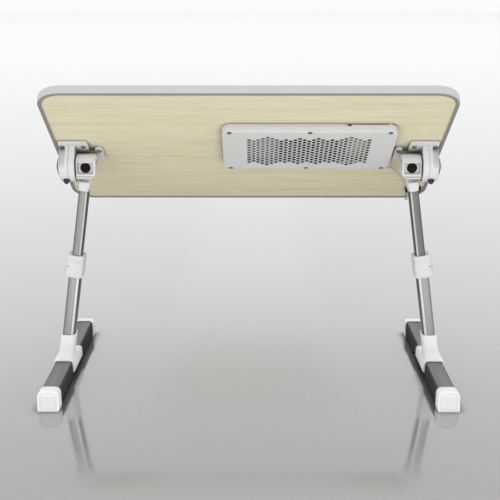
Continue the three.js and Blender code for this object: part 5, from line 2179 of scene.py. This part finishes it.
    def cap(self, end: str) -> Object:
        """A sleeve over the bar's end, with a shallow ribbed panel in its face.

        Args:
            end: "front" or "rear".

        Returns:
            The cap in the foot frame.
        """
        start = -self.cap_end
        made = pushed("y", self.cap_outline(0.0), start, self.cap_depth)
        named(made, f"{end}_foot_cap_{self.side.label}")
        carve(made, [self.cap_side(0.0)], "INTERSECT")
        rounded_edges(made, self.cap_edge, 30, 4)
        panel = pushed("y", self.cap_outline(self.panel_inset), start - 1, self.cap_lean + 7)
        carve(panel, [self.cap_side(self.panel_depth), self.ribs()])
        bore = self.bar_outline(self.clearance, self.floor_gap - self.clearance)
        carve(made, [panel, pushed("y", bore, start + self.cap_face, self.cap_depth)])
        if end == "rear":
            place(made, Matrix.Rotation(pi, 4, "Z"))
        return smooth(made, 32)

    def hood(self, low: float, high: float) -> Object:
        """The hood over the bar, with a soft front edge and a round back.

        Args:
            low: Where it begins along y.
            high: Where it ends.

        Returns:
            A solid.
        """
        grow, soft = self.clearance + self.saddle_wall, self.saddle_round
        top = self.seat + grow
        hood = pushed("y", self.bar_outline(grow, self.saddle_lip, 16), low, high - low)
        named(hood, f"saddle_moulding_{self.side.label}")
        near = arc((low + 1, top - 1), 1, 180, 90, 4)
        far = arc((high - soft, top - soft), soft, 90, 0, 12)
        side = [(low, 0.0), (low, top - 1), *near, *far, (high, 0.0)]
        return carve(hood, [pushed("x", side, -30, 60)], "INTERSECT")

    def socket(self, middle: float) -> Object:
        """The socket that rises from the hood with a soft rim and a flared foot.

        Args:
            middle: Height at which leg and bar cross.

        Returns:
            A solid.
        """
        y, rows = self.saddle_y, []
        for below, inset in self.rim_rows:
            z = self.socket_top - below
            axis = -(z - middle) * tan(FRAMES.splay)
            half, reach = self.socket_width / 2 - inset, self.socket_depth / 2 - inset
            rows.append((z, axis - half, axis + half, reach, reach))
        rings = []
        for z, inner, outer, near, far in (*rows, *self.flare):
            outline = rounded_outline(outer - inner, near + far, self.socket_corner, 10)
            rings.append(level(outline, z, ((inner + outer) / 2, y + (far - near) / 2)))
        return skin("socket", rings)

    def saddle(self) -> Object:
        """Hood and socket as one moulding, hollow for the bar and the leg.

        Returns:
            The saddle in the foot frame.
        """
        y, middle = self.saddle_y, self.floor_gap + self.bar_height / 2
        low, high = y - self.saddle_front, y + self.saddle_back
        hood = carve(self.hood(low, high), [self.socket(middle)], "UNION")
        outline = rounded_outline(*self.socket_bore, 8)
        bore = pushed("z", outline, self.socket_floor - middle, self.socket_top)
        place(bore, shift(0, y, middle) @ Matrix.Rotation(-FRAMES.splay, 4, "Y"))
        tunnel = pushed("y", self.bar_outline(self.clearance, -1), low - 1, high - low + 2)
        return rounded_edges(carve(hood, [tunnel, bore]), self.saddle_edge, 34, 3)

    def build(self) -> None:
        """Makes and dresses one side's foot."""
        label, where = self.side.label, FRAMES.foot(self.side)
        body = f"lower_leg_{label}"
        fit(place(self.saddle(), where), body, FOOT_ABS, f"saddle_{label}")
        fit(place(self.bar(), where), body, DARK_ANODISED, f"foot_bar_{label}")
        for end in ("front", "rear"):
            fit(place(self.cap(end), where), body, FOOT_ABS, f"{end}_cap_{label}")


# ---- studio


def point_at(obj: Object, at: Spot, ahead: Vector) -> None:
    """Stands a camera or lamp at a place and turns it.

    Args:
        obj: The camera or lamp.
        at: The place.
        ahead: Where it looks.
    """
    obj.location = at
    obj.rotation_mode = "QUATERNION"
    obj.rotation_quaternion = ahead.to_track_quat("-Z", "Y")


@dataclass
class Studio:
    """Camera, floor and lights."""

    camera_at: Spot = (0.00497, -1.2621, 0.5223)
    pitch: float = 15.26
    yaw: float = 0.15
    lens: float = 67.15
    sensor: float = 36.0
    floor_size: float = 60.0
    gloss: Point = (0.3, 0.75)
    gloss_from_middle: Point = (0.08, 0.14)
    gloss_from_front: Point = (-0.36, -0.24)
    floor_roughness: float = 0.09
    # Painted contact shadow: the seen floor darkens toward contact_tone close to the table.
    contact: float = 0.014
    contact_tone: float = 0.3
    contact_sky: Point = (0.45, 0.97)
    bounce_tones: tuple[str, str] = ("#fcfcfc", "#909090")
    bounce_from: Point = (-0.35, 0.3)
    steepest: float = 0.6
    # The seen floor's tones are painted light: darker near the viewer, paler with distance.
    floor_tones: tuple[tuple[float, str], ...] = (
        # slope from the floor up to the viewer, tone
        (0.0, "#ffffff"), (0.06, "#ffffff"), (0.12, "#f6f6f6"), (0.17, "#eeeeee"),
        (0.24, "#e1e1e1"), (0.32, "#d4d4d4"), (0.43, "#c1c1c1"), (0.55, "#b1b1b1"),
    )
    softboxes: tuple[tuple[Spot, float, float, Spot], ...] = (
        # place, size, power, aim
        ((-0.8, -1.9, 0.5), 1.4, 3.5, (0.0, 0.0, 0.25)),
        ((0.8, -1.9, 0.5), 1.4, 3.5, (0.0, 0.0, 0.25)),
        ((0.0, 0.3, 2.6), 2.0, 4.0, (0.0, 0.0, 0.2)),
    )
    surround: float = 0.97

    def camera(self) -> None:
        """Sets the camera."""
        data = bpy.data.cameras.new("camera")
        data.lens = self.lens
        data.sensor_width = self.sensor
        made = new_object("camera", data)
        pitch, yaw = radians(self.pitch), radians(self.yaw)
        level_reach = cos(pitch)
        ahead = (-sin(yaw) * level_reach, cos(yaw) * level_reach, -sin(pitch))
        point_at(made, self.camera_at, Vector(ahead))
        bpy.context.scene.camera = made

    def seen_floor(self, tree: Tree, x: Socket, y: Socket) -> Socket:
        """The floor that the camera sees, paler with distance and faintly glossy.

        Args:
            tree: The floor's tree.
            x: Place across the floor.
            y: Place toward the back.

        Returns:
            The shader.
        """
        # Painted light: the floor's tone follows the slope up to the viewer, darker near it.
        viewer = add(tree, "ShaderNodeNewGeometry", out="Incoming")
        rise = add(tree, "ShaderNodeSeparateXYZ", {0: viewer}, "Z")
        angle = add(tree, "ShaderNodeMath", {0: rise}, operation="ARCSINE")
        slope = add(tree, "ShaderNodeMath", {0: angle}, operation="TANGENT")
        span = {"Value": slope, "From Max": self.steepest}
        ramp = {"Fac": add(tree, "ShaderNodeMapRange", span)}
        tones = [(at / self.steepest, colour) for at, colour in self.floor_tones]
        tone = set_stops(add(tree, "ShaderNodeValToRGB", ramp), tones)
        # Painted contact shadow: the floor darkens close to the table's feet.
        reach = {"Distance": self.contact}
        sky = add(tree, "ShaderNodeAmbientOcclusion", reach, "AO", samples=SKY_SAMPLES)
        span = {"Value": sky, "To Min": self.contact_tone} | between(*self.contact_sky)
        scaled = {0: tone, "Scale": add(tree, "ShaderNodeMapRange", span)}
        tone = add(tree, "ShaderNodeVectorMath", scaled, operation="SCALE")
        matt = add(tree, "ShaderNodeBsdfDiffuse", {"Color": tone})
        mirror = {"Color": tone, "Roughness": self.floor_roughness}
        gloss = add(tree, "ShaderNodeBsdfGlossy", mirror)
        aside = {"Value": add(tree, "ShaderNodeMath", {0: x}, operation="ABSOLUTE")}
        aside |= between(*self.gloss_from_middle)
        aside |= {"To Min": self.gloss[0], "To Max": self.gloss[1]}
        fade = {"Value": y} | between(*self.gloss_from_front)
        both = {i: add(tree, "ShaderNodeMapRange", v) for i, v in enumerate((aside, fade))}
        share = add(tree, "ShaderNodeMath", both, operation="MULTIPLY")
        return add(tree, "ShaderNodeMixShader", {0: share, 1: matt, 2: gloss})

    def floor(self) -> None:
        """Lays the floor; all but the camera meet an even one, which lights the table."""
        half = self.floor_size / 2
        mesh = bpy.data.meshes.new("studio_floor")
        corners = [(-half, -half, 0), (half, -half, 0), (half, half, 0), (-half, half, 0)]
        mesh.from_pydata(corners, [], [(0, 1, 2, 3)])
        made = new_object("studio_floor", mesh)
        material = new_material("studio_floor")
        tree = material.node_tree
        at = add(tree, "ShaderNodeTexCoord", out="Object")
        x, y = (add(tree, "ShaderNodeSeparateXYZ", {0: at}, axis) for axis in "XY")
        span = {"Value": y} | between(*self.bounce_from)
        ramp = {"Fac": add(tree, "ShaderNodeMapRange", span)}
        tones = tuple(zip((0.0, 1.0), self.bounce_tones))
        under = set_stops(add(tree, "ShaderNodeValToRGB", ramp), tones)
        bounce = add(tree, "ShaderNodeBsdfDiffuse", {"Color": under})
        ray = add(tree, "ShaderNodeLightPath", out="Is Camera Ray")
        mixed = {0: ray, 1: bounce, 2: self.seen_floor(tree, x, y)}
        whole = add(tree, "ShaderNodeMixShader", mixed)
        add(tree, "ShaderNodeOutputMaterial", {"Surface": whole})
        mesh.materials.append(material)

    def lights(self) -> None:
        """Sets the softboxes and the even surround."""
        for number, (at, size, power, aim) in enumerate(self.softboxes):
            data = bpy.data.lights.new(f"softbox_{number}", "AREA")
            data.shape = "RECTANGLE"
            data.size = data.size_y = size
            data.energy = power
            point_at(new_object(data.name, data), at, Vector(aim) - Vector(at))
        world = bpy.data.worlds.new("even_surround")
        world.use_nodes = True
        tree = world.node_tree
        tree.nodes.clear()
        even = {"Color": (1, 1, 1, 1), "Strength": self.surround}
        shade = add(tree, "ShaderNodeBackground", even)
        add(tree, "ShaderNodeOutputWorld", {"Surface": shade})
        bpy.context.scene.world = world

    def build(self) -> None:
        """Sets up the whole studio."""
        bpy.context.scene.view_settings.view_transform = "Standard"
        self.camera()
        self.floor()
        self.lights()


def main() -> None:
    """Builds the table from its sub-assemblies and sets the studio."""
    logging.basicConfig(level=logging.INFO, format="%(message)s")
    Studio().build()
    Lead().build()
    TableTop().build()
    fan = FanUnit()
    fan.build()
    Fasteners().build(fan)
    for side in Side:
        HingeBracket(side).build()
        Knuckle(side).build()
        Leg(side).build()
        Foot(side).build()


if __name__ == "__main__":
    main()
